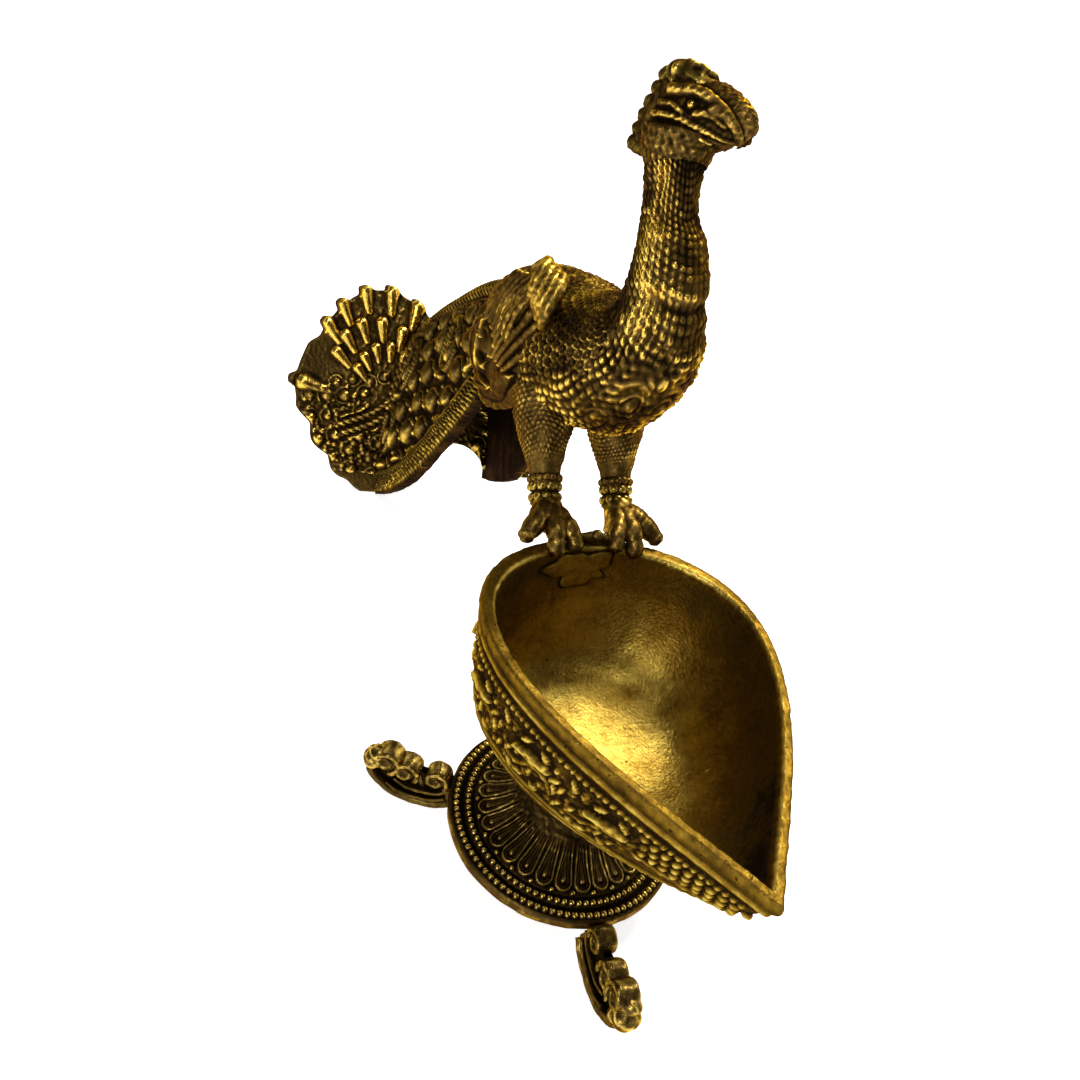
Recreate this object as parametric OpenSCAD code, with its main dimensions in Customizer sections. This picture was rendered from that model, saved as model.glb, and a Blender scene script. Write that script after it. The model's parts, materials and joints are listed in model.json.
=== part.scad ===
// Brass oil lamp: a leaf-shaped bowl on a three-footed pedestal, with a peacock on its back rim.
// Lamp space has its origin on the table under the middle of the base plate, +X towards the
// spout and +Z up. The last lines shift it so that the origin is the middle of the footprint.

/* [Stand] */
// Diameter of the round base plate
base_d = 40; // [38:0.5:44]
// Height of the base plate's underside over the table
plate_gap = 5.2; // [5:0.1:5.5]
// Thickness of the base plate's edge
plate_t = 2.2; // [1.8:0.1:3]
// Height of the seat on top of the stem
seat_z = 22.4; // [22:0.1:22.8]
// Distance from the lamp's axis to the end of a foot
foot_reach = 36; // [35.5:0.1:36.5]
// Width of a foot's lower strip
foot_w = 4.8; // [4:0.1:5]
// Width of the curls on top of a foot
curl_w = 3.6; // [3:0.1:4]

/* [Screw] */
// Outer diameter of the stud
stud_d = 5.9; // [5.84:0.01:5.96]
// Diameter of the bores that take the stud
bore_d = 6; // [6:0.1:6]
// Thread pitch
thread_pitch = 1.5; // [1:0.25:1.5]
// Whole turns of thread in engagement
engaged_turns = 5; // [4:1:6]

/* [Bowl] */
// Height of the bowl's rim
rim_z = 49.2; // [49:0.1:49.5]
// Half length of the leaf-shaped rim
rim_half_l = 32.4; // [32:0.1:33]
// Distance from the lamp's axis to the middle of the rim, towards the spout
rim_offset = 9.4; // [9:0.1:9.8]
// Fullness of the rim's sides
rim_fullness = 30.9; // [30.5:0.1:31.5]
// Sharpness of the spout
spout_power = 1.37; // [1.3:0.01:1.45]
// Wall thickness of the bowl
bowl_wall = 1.8; // [1.6:0.1:2]

/* [Peacock] */
// Distance of each claw foot from the middle plane
foot_y = 6.6; // [6.2:0.1:7]
// Turn of the head to the bird's left, in degrees
head_turn = 35; // [25:1:40]
// Thickness of a wing
wing_t = 5; // [4:0.5:6]

/* [Tail] */
// Thickness of the train's arched wall
train_wall = 2.2; // [2:0.1:2.6]
// Thickness of the fan
fan_t = 2.6; // [2.2:0.1:3]
// Height of the tail's left corner over the table: the right one rests on it
tail_lift = 5; // [3:0.5:6]
// Backward lean of the fan, in degrees
fan_lean = 25; // [22:1:28]
// Greatest radius of a fan lobe
fan_r = 34.8; // [34:0.1:35.5]
// Diameter of the rope borders
rope_d = 2; // [1.6:0.1:2.4]

/* [Hidden] */
brass = [0.55, 0.42, 0.16];
dark_brass = [0.42, 0.31, 0.12];
bright_brass = [0.72, 0.55, 0.2];

base_r = base_d / 2;
plate_top = plate_gap + plate_t;
seat_gap = 0.1;
boss_z = seat_z + seat_gap;
boss_r = 8.5;
bowl_under_z = 23.9;
bowl_floor_z = 26.4;
stud_top = 24.9;
stud_end = seat_z - thread_pitch * engaged_turns;
socket_r = 1;
socket_z = plate_gap + plate_t / 2;
foot_arc_r = 10;
foot_mid = base_r + 7;
web_w = 1.8;
foot_angles = [-2, 118, -118];
rim_back = rim_offset - rim_half_l;
tip_blunt = 0.05;
leaf_sides = 40;

// Trunk and neck stations from rump to throat: x, y, z, half width, half height
trunk = [[-80, 0, 62.2, 6, 7], [-72, 0, 65.5, 8.8, 8.8], [-62, 0, 69, 11.2, 10.3],
    [-51, 0, 71.4, 12.3, 10.9], [-41, 0, 73, 12.6, 10.8], [-33, 0, 76.8, 10.8, 10.6],
    [-28, 0, 81.6, 8.9, 8.9], [-26.6, 0, 87.2, 7.1, 7.4], [-28.9, 0, 93.2, 5.6, 5.8],
    [-32.8, 0, 99.2, 4.6, 4.8], [-36.4, 0, 105.2, 4.5, 4.8], [-38, 0, 108.7, 4.4, 4.4]];
// Head stations from nape to beak tip, along the head's own direction
skull = [[-5.6, 0, 0.8, 2, 2.8], [-3.5, 0, 1.3, 3.6, 4.7], [0, 0, 2, 4, 5.4],
    [3.5, 0, 2.9, 3.6, 4.8], [6.3, 0, 3, 2.9, 4.2], [8.4, 0, 2.6, 2.2, 3.2],
    [9.8, 0, 1.8, 1, 1.8]];
head_at = [-37.6, 0, 110];
// Leg stations from ankle to thigh, on the middle plane: x, y, z, half width, half depth
leg = [[-31.2, 0, 53.6, 2.5, 2.5], [-33.5, 0, 56, 2.7, 2.8], [-36, 0, 58.8, 3.6, 4.2],
    [-39, 0, 62.2, 4.9, 5.3], [-41.5, 0, 66, 5.5, 6.1]];
anklet_at = [-30.8, 0, 53];
leg_lean = 42;
// Train stations: ridge x, ridge z, lower edge x, lower edge z, half width
train = [[-74, 70.4, -62, 55.2, 9.5], [-84, 66.7, -67, 44.5, 10.5], [-94, 61, -74, 33, 11.5],
    [-104, 54, -83, 19.5, 12.6], [-113, 47.4, -92.5, 8.5, 13.8], [-120.5, 41, -102.5, 0, 15]];
fan_foot = [-103.5, 0];
fan_mid_v = 24;
fan_notch = 0.48;
fan_arch = 12.6;
fan_arch_y = 3.2;
fan_dish = 3;
fan_sides = 64;
arch_sides = 14;

function mix(a, b, t) = a + (b - a) * t;
// One point on a Catmull-Rom curve through four rows of numbers
function blend4(a, b, c, d, t) =
    0.5 * (2 * b + (c - a) * t + (2 * a - 5 * b + 4 * c - d) * t * t
    + (3 * b - a - 3 * c + d) * t * t * t);
// Rows of numbers with each gap divided smoothly into steps
function smooth(rows, steps) = [for (i = [0:len(rows) - 2], k = [0:steps - 1])
    blend4(rows[max(i - 1, 0)], rows[i], rows[i + 1], rows[min(i + 2, len(rows) - 1)], k / steps),
    rows[len(rows) - 1]];
// Direction of a path of x, y, z rows at row i, in degrees above the horizontal
function climb(rows, i) = let(a = rows[max(i - 1, 0)], b = rows[min(i + 1, len(rows) - 1)])
    atan2(b[2] - a[2], b[0] - a[0]);
// Ellipse round a station, square to the path
function station_ring(row, slope, sides) = [for (i = [0:sides - 1]) let(t = 360 * i / sides)
    [row[0] - row[4] * sin(t) * sin(slope), row[1] + row[3] * cos(t),
    row[2] + row[4] * sin(t) * cos(slope)]];
function rings_along(rows, sides) =
    [for (i = [0:len(rows) - 1]) station_ring(rows[i], climb(rows, i), sides)];

// Closed solid through rings of points that all have the same count; an open arch has its ends
// closed by a strip of quads
module loft(rings, arch = false) {
    n = len(rings[0]);
    last = (len(rings) - 1) * n;
    sides = [for (j = [0:len(rings) - 2], i = [0:n - 1]) each
        [[j * n + i, (j + 1) * n + i, j * n + (i + 1) % n],
        [j * n + (i + 1) % n, (j + 1) * n + i, (j + 1) * n + (i + 1) % n]]];
    first_cap = arch ? [for (i = [0:n / 2 - 2]) [i, i + 1, n - 2 - i, n - 1 - i]]
        : [[for (i = [0:n - 1]) i]];
    last_cap = [for (face = first_cap) [for (k = [len(face) - 1:-1:0]) last + face[k]]];
    polyhedron([for (ring = rings) each ring], concat(sides, first_cap, last_cap), convexity = 6);
}

// Base plate, petalled dome and stem in one casting, with the bore for the stud
module base_plate() {
    color(dark_brass) difference() {
        rotate_extrude($fn = 96) polygon([[0, plate_gap + 0.8], [16, plate_gap + 0.8],
            [16.6, plate_gap], [base_r, plate_gap], [base_r, plate_top - 0.3],
            [base_r - 0.3, plate_top], [18.2, plate_top], [17.6, plate_top - 0.5],
            [17, plate_top], [15.6, plate_top + 0.2], [12, plate_top + 1.6],
            [9, plate_top + 4], [7.4, plate_top + 7], [7, plate_top + 9.6],
            [7.4, seat_z - 3], [boss_r, seat_z - 1], [boss_r, seat_z], [0, seat_z]]);
        cylinder(d = bore_d, h = seat_z + 1, $fn = 64);
        for (a = foot_angles) rotate([0, 0, a]) translate([base_r - 2.5, 0, socket_z])
            rotate([0, 90, 0]) cylinder(r = socket_r, h = 3, $fn = 32);
    }
}

// Bowed strip that a foot stands on, seen from its side
module foot_strip() {
    intersection() {
        difference() {
            translate([foot_mid, foot_arc_r - 0.12]) circle(r = foot_arc_r, $fn = 96);
            translate([foot_mid, foot_arc_r + 0.2]) circle(r = foot_arc_r - 1.8, $fn = 96);
        }
        translate([base_r, 0]) square([foot_reach - base_r - 4, 4.2]);
    }
}

// Three curls and a post against the plate, seen from the side
module foot_curls() {
    translate([base_r, 2.4]) square([1.8, 5.6]);
    translate([base_r + 2.8, 6.5]) circle(r = 2.6, $fn = 48);
    translate([base_r + 8.2, 6.2]) circle(r = 2.6, $fn = 48);
    translate([foot_reach - 4.2, 7.4]) circle(r = 3, $fn = 48);
    translate([foot_reach - 1.7, 6]) circle(r = 1.7, $fn = 48);
}

// Thin web that fills the scroll
module foot_web() {
    polygon([[base_r, 3.4], [base_r + 3, 1.5], [foot_mid, 0.6], [foot_mid + 4, 1.5],
        [foot_reach - 3.4, 4], [foot_reach - 1.4, 6], [foot_reach - 3, 7.4], [base_r + 1, 6.5]]);
}

// Upright slab of a given width on the foot's middle plane
module slab(width) {
    rotate([90, 0, 0]) translate([0, 0, -width / 2]) linear_extrude(height = width) children();
}

// Scroll foot at an angle round the base, with the pin that holds it in the plate
module scroll_foot(angle) {
    color(brass) rotate([0, 0, angle]) {
        slab(foot_w) foot_strip();
        slab(curl_w) foot_curls();
        slab(web_w) foot_web();
        translate([base_r - 2.4, 0, socket_z]) rotate([0, 90, 0])
            cylinder(r = socket_r, h = 4, $fn = 32);
    }
}

module front_foot() {
    scroll_foot(foot_angles[0]);
}

module left_rear_foot() {
    scroll_foot(foot_angles[1]);
}

module right_rear_foot() {
    scroll_foot(foot_angles[2]);
}

// Threaded stud that joins the bowl to the stem, drawn as a plain rod
module bowl_stud() {
    color(brass) translate([0, 0, stud_end]) cylinder(d = stud_d, h = stud_top - stud_end, $fn = 64);
}

// Point of the leaf-shaped bowl: spread 0 is its round foot and 1 is its rim, t runs from the spout
function leaf_point(spread, grow, t, z) = let(long = mix(boss_r, rim_half_l, spread) + grow,
    full = mix(boss_r, rim_fullness, spread) + grow)
    [rim_offset * spread + long * cos(t),
    full * sin(t) * (pow(abs(sin(t / 2)), spout_power * spread) + tip_blunt) / (1 + tip_blunt), z];
function leaf(spread, grow, z) =
    [for (i = [0:leaf_sides - 1]) leaf_point(spread, grow, 360 * i / leaf_sides, z)];
// Height of the bowl's wall over a floor: steep at the back and flatter under the spout
function wall_z(spread, floor_z, t) =
    rim_z - (rim_z - floor_z) * pow(1 - pow(spread, 2.9 - 1.5 * cos(t)), 0.6);
function wall_ring(spread, grow, floor_z) = [for (i = [0:leaf_sides - 1])
    let(t = 360 * i / leaf_sides) leaf_point(spread, grow, t, wall_z(spread, floor_z, t))];

module oil_bowl() {
    spreads = [0.35, 0.6, 0.78, 0.9, 0.97];
    color(bright_brass) difference() {
        loft(concat([leaf(0, 0, boss_z), leaf(0, 0, bowl_under_z)],
            [for (s = spreads) wall_ring(s, 0, bowl_under_z)],
            [leaf(1, 0, rim_z - 2), leaf(1, 0.8, rim_z - 1.6), leaf(1, 0.8, rim_z)],
            [leaf(1, -bowl_wall, rim_z)],
            [for (i = [len(spreads) - 1:-1:0]) wall_ring(spreads[i], -bowl_wall, bowl_floor_z)],
            [leaf(0, -4, bowl_floor_z)]));
        translate([0, 0, boss_z - 1]) cylinder(d = bore_d, h = 1 + stud_top + 0.1 - boss_z, $fn = 64);
    }
}

// Pool of braze on the inner back wall, under the bird's feet
module braze_pool() {
    color(bright_brass) translate([rim_back + 2.3, 0, rim_z - 4]) rotate([0, 15, 0])
        linear_extrude(height = 4.4) polygon([[0, -7], [1.4, -5], [2, -1], [1.7, 3], [1.2, 6],
            [0, 7.5], [-1.2, 6], [-1.2, -6]]);
}

// Tapered toe between two knuckles
module toe(from, to, r_from, r_to) {
    hull() {
        translate(from) sphere(r = r_from, $fn = 16);
        translate(to) sphere(r = r_to, $fn = 16);
    }
}

// Claw foot that grips the rim; side is 1 for the bird's left and -1 for its right
module claw_foot(side) {
    ankle = [anklet_at[0] + 1, 0, anklet_at[2] - 1.1];
    knuckle = [rim_back - 2, 0, rim_z + 2.2];
    color(brass) translate([0, side * foot_y, 0]) {
        toe(ankle, [rim_back - 3.4, 0, rim_z + 1], 2.5, 2.6);
        toe(knuckle, [rim_back + 2.4, -side * 3, rim_z + 0.4], 2.2, 1.5);
        toe(knuckle, [rim_back + 3, side * 0.4, rim_z - 0.6], 2.2, 1.5);
        toe([rim_back - 2.6, side * 1.6, rim_z + 2.4], [rim_back + 0.6, side * 5.4, rim_z + 1.2], 2.6, 1.5);
        toe([rim_back - 3.4, 0, rim_z + 1], [rim_back - 4, -side * 0.6, rim_z - 1], 2.4, 1.5);
    }
}

module left_claw_foot() {
    claw_foot(1);
}

module right_claw_foot() {
    claw_foot(-1);
}

// Small bead of metal that ties the two claw feet together on the rim
module claw_link() {
    color(brass) translate([rim_back + 0.2, -foot_y + 2, rim_z + 1.1]) rotate([-90, 0, 0])
        cylinder(r = 0.9, h = 2 * foot_y - 4, $fn = 32);
}

// Beaded ring round the ankle
module anklet(side) {
    color(brass) translate([anklet_at[0], side * foot_y, anklet_at[2]]) rotate([0, -leg_lean, 0])
        rotate_extrude($fn = 48) polygon([[0, -2.2], [2.5, -2.2], [2.85, -1.5], [2.6, -0.3],
            [2.9, 0.8], [2.6, 2.1], [0, 2.1]]);
}

module left_anklet() {
    anklet(1);
}

module right_anklet() {
    anklet(-1);
}

// Leg from the ankle to the top of the feathered thigh
module bird_leg(side) {
    color(brass) translate([0, side * foot_y, 0]) loft(rings_along(smooth(leg, 2), 16));
}

module left_leg() {
    bird_leg(1);
}

module right_leg() {
    bird_leg(-1);
}

module peacock_body() {
    color(brass) loft(rings_along(smooth(trunk, 2), 20));
}

module head_space() {
    translate(head_at) rotate([0, 0, head_turn]) children();
}

module peacock_head() {
    color(brass) head_space() loft(rings_along(smooth(skull, 2), 16));
}

// Cap-like comb of three lobes on top of the skull
module head_comb() {
    color(bright_brass) head_space() for (lobe = [[-3.6, 6.4, 1.8], [-1.2, 7, 1.9], [1.2, 6.4, 1.6]])
        translate([lobe[0], 0, lobe[1]]) sphere(r = lobe[2], $fn = 24);
}

// Beaded ridge down the nape, ending in a pointed tuft
module nape_crest() {
    color(brass) head_space() {
        for (i = [0:5]) translate([-5 - 1.6 * sin(18 * i), 0, 5.6 - 1.9 * i]) sphere(r = 1.2, $fn = 20);
        translate([-4.6, 0, -3.9]) rotate([0, -103, 0]) cylinder(r1 = 1.7, r2 = 0.3, h = 3.2, $fn = 24);
    }
}

// Folded wing: an arched plate from the shoulder curl down to its trailing curl
module wing(side) {
    color(brass) translate([0, side * 12, 0]) rotate([90, 0, 0])
        translate([0, 0, -wing_t / 2]) linear_extrude(height = wing_t) hull() {
            translate([-41.5, 81.5]) circle(r = 4.6, $fn = 32);
            translate([-48, 79.5]) circle(r = 6, $fn = 32);
            translate([-52, 71.5]) circle(r = 8, $fn = 32);
            translate([-65.5, 61]) circle(r = 5, $fn = 32);
            translate([-58, 59]) circle(r = 5, $fn = 32);
        }
}

module left_wing() {
    wing(1);
}

module right_wing() {
    wing(-1);
}

// Arch point: swing goes from -90 at the right lower edge over the ridge to 90 at the left one
function arch_point(row, swing, inset) = let(tall = row[1] - row[3],
    cut = swing > 0 ? tail_lift * max(0, 1 - row[3] / 20) / tall : 0,
    span = norm([row[0] - row[2], tall]), up = mix(cut, 1 - inset / span, pow(cos(swing), 0.8)))
    [mix(row[2], row[0], up), (row[4] - inset) * sin(swing), mix(row[3], row[1], up)];
function arch_ring(row) = concat(
    [for (i = [0:arch_sides]) arch_point(row, -90 + 180 * i / arch_sides, 0)],
    [for (i = [arch_sides:-1:0]) arch_point(row, -90 + 180 * i / arch_sides, train_wall)]);

module tail_train() {
    color(brass) loft([for (row = smooth(train, 2)) arch_ring(row)], arch = true);
}

// Radius of the fan at an angle from straight up: a notch over the ridge, a round lobe on each
// side with one longer tip, and a narrower foot
function fan_radius(a) = let(side = abs(a)) fan_r * (1 - fan_notch * exp(-pow(side / 25, 2)))
    * (1 - 0.12 * pow(max(side - 60, 0) / 80, 1.5)) + 1.8 * exp(-pow((side - 89) / 14, 2));
// Point of the fan: u across, v up the leaning fan, w along its front normal
function fan_point(u, v, w) = [fan_foot[0] - v * sin(fan_lean) + w * cos(fan_lean), u,
    fan_foot[1] + v * cos(fan_lean) + w * sin(fan_lean)];
// Ring of the fan at a share of its radius, at height w over the rim
function fan_ring(share, w) = [for (i = [0:fan_sides - 1]) let(a = 360 * i / fan_sides - 180,
    r = share * fan_radius(a)) fan_point(r * sin(a), fan_mid_v + r * cos(a), w)];

// Two-lobed fan, dished to the front, with an arch cut in its foot between two corner stubs
module tail_fan() {
    color(bright_brass) difference() {
        loft([fan_ring(0.4, fan_dish - fan_t), fan_ring(1, -fan_t), fan_ring(1, 0),
            fan_ring(0.4, fan_dish)]);
        translate([-200, -100, -40]) cube([200, 200, 40]);
        translate([-200, 0, -40]) cube([200, 100, 40 + tail_lift]);
        translate([fan_foot[0] - 30, fan_arch_y, 0]) rotate([0, 90, 0])
            cylinder(r = fan_arch, h = 60, $fn = 64);
    }
}

// Straight-sided tube with round section through a list of points
function tube_ring(points, i, r) = let(a = points[max(i - 1, 0)],
    b = points[min(i + 1, len(points) - 1)], d = (b - a) / norm(b - a),
    side = cross(d, [0, 1, 0.001]) / norm(cross(d, [0, 1, 0.001])), other = cross(d, side))
    [for (k = [0:7]) points[i] + r * (side * cos(45 * k) + other * sin(45 * k))];

module tube(points, r) {
    loft([for (i = [0:len(points) - 1]) tube_ring(points, i, r)]);
}

// Two ropes side by side along the train's ridge
module ridge_ropes() {
    color(brass) for (side = [-1, 1])
        tube([for (row = smooth(train, 2)) arch_point(row, side * 16, -0.3)], rope_d / 2);
}

// Rope borders along the train's two lower edges
module edge_ropes() {
    color(brass) for (side = [-1, 1])
        tube([for (row = smooth(train, 2)) arch_point(row, side * 86, -0.3)], rope_d / 2);
}

fan_reach = max([for (p = fan_ring(1, -fan_t)) -p[0]]);
spout_reach = rim_offset + rim_half_l + 0.8;

module lamp_space() {
    translate([(fan_reach - spout_reach) / 2, 0, 0]) children();
}

lamp_space() base_plate();
lamp_space() front_foot();
lamp_space() left_rear_foot();
lamp_space() right_rear_foot();
lamp_space() bowl_stud();
lamp_space() oil_bowl();
lamp_space() braze_pool();
lamp_space() left_claw_foot();
lamp_space() right_claw_foot();
lamp_space() claw_link();
lamp_space() left_anklet();
lamp_space() right_anklet();
lamp_space() left_leg();
lamp_space() right_leg();
lamp_space() peacock_body();
lamp_space() peacock_head();
lamp_space() head_comb();
lamp_space() nape_crest();
lamp_space() left_wing();
lamp_space() right_wing();
lamp_space() tail_train();
lamp_space() tail_fan();
lamp_space() ridge_ropes();
lamp_space() edge_ropes();
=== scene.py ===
import json
import math

import bpy
import numpy as np
from mathutils import Matrix, Vector


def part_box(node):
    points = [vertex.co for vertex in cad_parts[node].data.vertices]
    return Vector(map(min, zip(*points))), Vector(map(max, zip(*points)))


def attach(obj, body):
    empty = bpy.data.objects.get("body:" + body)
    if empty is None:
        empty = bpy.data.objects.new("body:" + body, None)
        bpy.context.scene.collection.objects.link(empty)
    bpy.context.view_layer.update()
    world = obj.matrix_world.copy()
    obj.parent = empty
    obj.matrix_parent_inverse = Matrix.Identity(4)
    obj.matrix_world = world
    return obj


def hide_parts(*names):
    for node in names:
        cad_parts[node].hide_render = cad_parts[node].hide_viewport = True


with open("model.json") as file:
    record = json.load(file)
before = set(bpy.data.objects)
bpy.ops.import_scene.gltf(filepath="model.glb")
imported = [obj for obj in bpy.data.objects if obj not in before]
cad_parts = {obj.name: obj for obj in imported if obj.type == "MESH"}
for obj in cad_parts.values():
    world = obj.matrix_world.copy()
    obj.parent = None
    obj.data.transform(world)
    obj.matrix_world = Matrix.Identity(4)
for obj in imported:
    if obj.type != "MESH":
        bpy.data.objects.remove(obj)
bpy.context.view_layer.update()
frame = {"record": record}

MM = 0.001
TAU = 2 * math.pi
low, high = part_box("base_plate")
AXIS_X = (low.x + high.x) / 2 / MM      # the lamp's axis in the CAD frame
BODY = {n: b for b, ns in frame["record"]["behaviour"]["bodies"].items() for n in ns}

# ---- numbers of the design, in mm: they follow the CAD part
PLATE_GAP, PLATE_T, SEAT_Z = 5.2, 2.2, 22.4
PLATE_TOP = PLATE_GAP + PLATE_T
FOOT_ANGLES = -2, 118, -118
BOSS_R, BOSS_Z, UNDER_Z, FLOOR_Z, STUD_TOP = 8.5, 22.5, 23.9, 26.4, 24.9
RIM_Z, RIM_L, RIM_X, RIM_FULL, SPOUT, WALL, BLUNT = 49.2, 32.4, 9.4, 30.9, 1.37, 1.8, 0.05
RIM_BACK = RIM_X - RIM_L
FOOT_Y = 6.6
TRUNK = [[-80, 0, 62.2, 6, 7], [-72, 0, 65.5, 8.8, 8.8], [-62, 0, 69, 11.2, 10.3],
         [-51, 0, 71.4, 12.3, 10.9], [-41, 0, 73, 12.6, 10.8], [-33, 0, 76.8, 10.8, 10.6],
         [-28, 0, 81.6, 8.9, 8.9], [-26.6, 0, 87.2, 7.1, 7.4], [-28.9, 0, 93.2, 5.6, 5.8],
         [-32.8, 0, 99.2, 4.6, 4.8], [-36.4, 0, 105.2, 4.5, 4.8], [-38, 0, 108.7, 4.4, 4.4]]
SKULL = [[-4.9, 0, 0.8, 1.5, 2.2], [-3.2, 0, 1.2, 3.1, 4.2], [0, 0, 2, 3.8, 5.1],
         [3.5, 0, 2.9, 3.6, 4.8], [6.3, 0, 3, 2.9, 4.2], [8.4, 0, 2.6, 2.2, 3.2],
         [9.8, 0, 1.8, 1, 1.8]]
HEAD_AT, HEAD_TURN = np.array([-37.6, 0, 110]), 35
LEG = [[-31.2, 0, 53.6, 2.5, 2.5], [-33.5, 0, 56, 2.7, 2.8], [-36, 0, 58.8, 3.6, 4.2],
       [-39, 0, 62.2, 4.9, 5.3], [-41.5, 0, 66, 5.5, 6.1]]
ANKLET_AT, LEG_LEAN = np.array([-30.8, 0, 53]), 42
TRAIN = [[-74, 70.4, -62, 55.2, 9.5], [-84, 66.7, -67, 44.5, 10.5], [-94, 61, -74, 33, 11.5],
         [-104, 54, -83, 19.5, 12.6], [-113, 47.4, -92.5, 8.5, 13.8], [-120.5, 41, -102.5, 0, 15]]
TRAIN_WALL, TAIL_LIFT, ROPE_R, ROPE_SWING, EDGE_SWING = 2.2, 5, 1.0, 16, 86
FAN_FOOT, FAN_LEAN, FAN_MID, FAN_R, FAN_NOTCH, FAN_T = -103.5, 25, 24, 34.8, 0.48, 2.6
FAN_ARCH, FAN_ARCH_Y, FAN_DISH = 12.6, 3.2, 3


# mesh density: points round a piece, and steps between two rows of its table
PLATE_SIDES, BOWL_SIDES, FAN_SIDES = 660, 520, 760
TRUNK_STEPS, TRUNK_SIDES, TRAIN_STEPS, TRAIN_SIDES = 33, 264, 46, 372


def sin(a):
    return np.sin(np.radians(a))


def cos(a):
    return np.cos(np.radians(a))


def mix(a, b, t):
    return a + (b - a) * t


def step(x, a, b):
    """0 below a, 1 above b and a smooth rise between them."""
    t = np.clip((x - a) / (b - a), 0, 1)
    return t * t * (3 - 2 * t)


def bell(x, y=0.0, power=1):
    """Smooth bump that is 1 in the middle; a higher power makes its top flatter."""
    return np.exp(-(x * x + y * y) ** power)


def root(x):
    """Square root, or 0 where x is below 0."""
    return np.sqrt(np.maximum(x, 0))


def over(h, *others):
    """The highest of several reliefs."""
    for other in others:
        h = np.maximum(h, other)
    return h


def ring_of(count):
    """Angles all the way round, without the last one."""
    return np.linspace(0, TAU, count, endpoint=False)


def share(count):
    """Even steps from 0 to 1."""
    return np.linspace(0, 1, count)


def curve(rows, steps=6):
    """Catmull-Rom curve through rows of numbers."""
    rows = np.array(rows, float)
    out = []
    for i in range(len(rows) - 1):
        a, b, c, d = rows[max(i - 1, 0)], rows[i], rows[i + 1], rows[min(i + 2, len(rows) - 1)]
        for t in np.arange(steps) / steps:
            out.append(0.5 * (2 * b + (c - a) * t + (2 * a - 5 * b + 4 * c - d) * t ** 2
                    + (3 * b - a - 3 * c + d) * t ** 3))
    return np.array(out + [rows[-1]])


def lumps(P, size, seed):
    """Smooth random bumps of about a size in mm, mostly from -1 to 1."""
    rng = np.random.default_rng(seed)
    total = np.zeros(P.shape[:-1])
    for _ in range(9):
        k = rng.normal(size=3)
        k *= TAU / size / np.linalg.norm(k) * rng.uniform(0.6, 1.5)
        total += np.sin(P @ k + rng.uniform(0, TAU))
    return total / 4


# ---- grids of points
def neighbours(a, axis, wrap):
    if wrap:
        return np.roll(a, 1, axis), np.roll(a, -1, axis)
    n = a.shape[axis]
    index = np.arange(n)
    return np.take(a, np.maximum(index - 1, 0), axis), np.take(a, np.minimum(index + 1, n - 1), axis)


def points(x, y, z):
    """One grid of points from coordinates that may each be a row, a column or a number."""
    return np.stack(np.broadcast_arrays(x, y, z), -1)


def unit(v):
    return v / np.linalg.norm(v, axis=-1, keepdims=True)


def blur(a, times, wrap_u, wrap_v):
    for _ in range(times):
        for axis, wrap in ((0, wrap_u), (1, wrap_v)):
            p, q = neighbours(a, axis, wrap)
            a = (p + 2 * a + q) / 4
    return a


def normals(P, wrap_u, wrap_v):
    p, q = neighbours(P, 0, wrap_u)
    r, s = neighbours(P, 1, wrap_v)
    n = np.cross(q - p, s - r)
    return n / (np.linalg.norm(n, axis=-1, keepdims=True) + 1e-9)


def run(P, axis):
    """Distance along an axis of a grid, in mm, from its first row."""
    d = np.linalg.norm(np.diff(P, axis=axis), axis=-1)
    return np.concatenate([np.zeros_like(np.take(d, [0], axis)), np.cumsum(d, axis)], axis)


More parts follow.
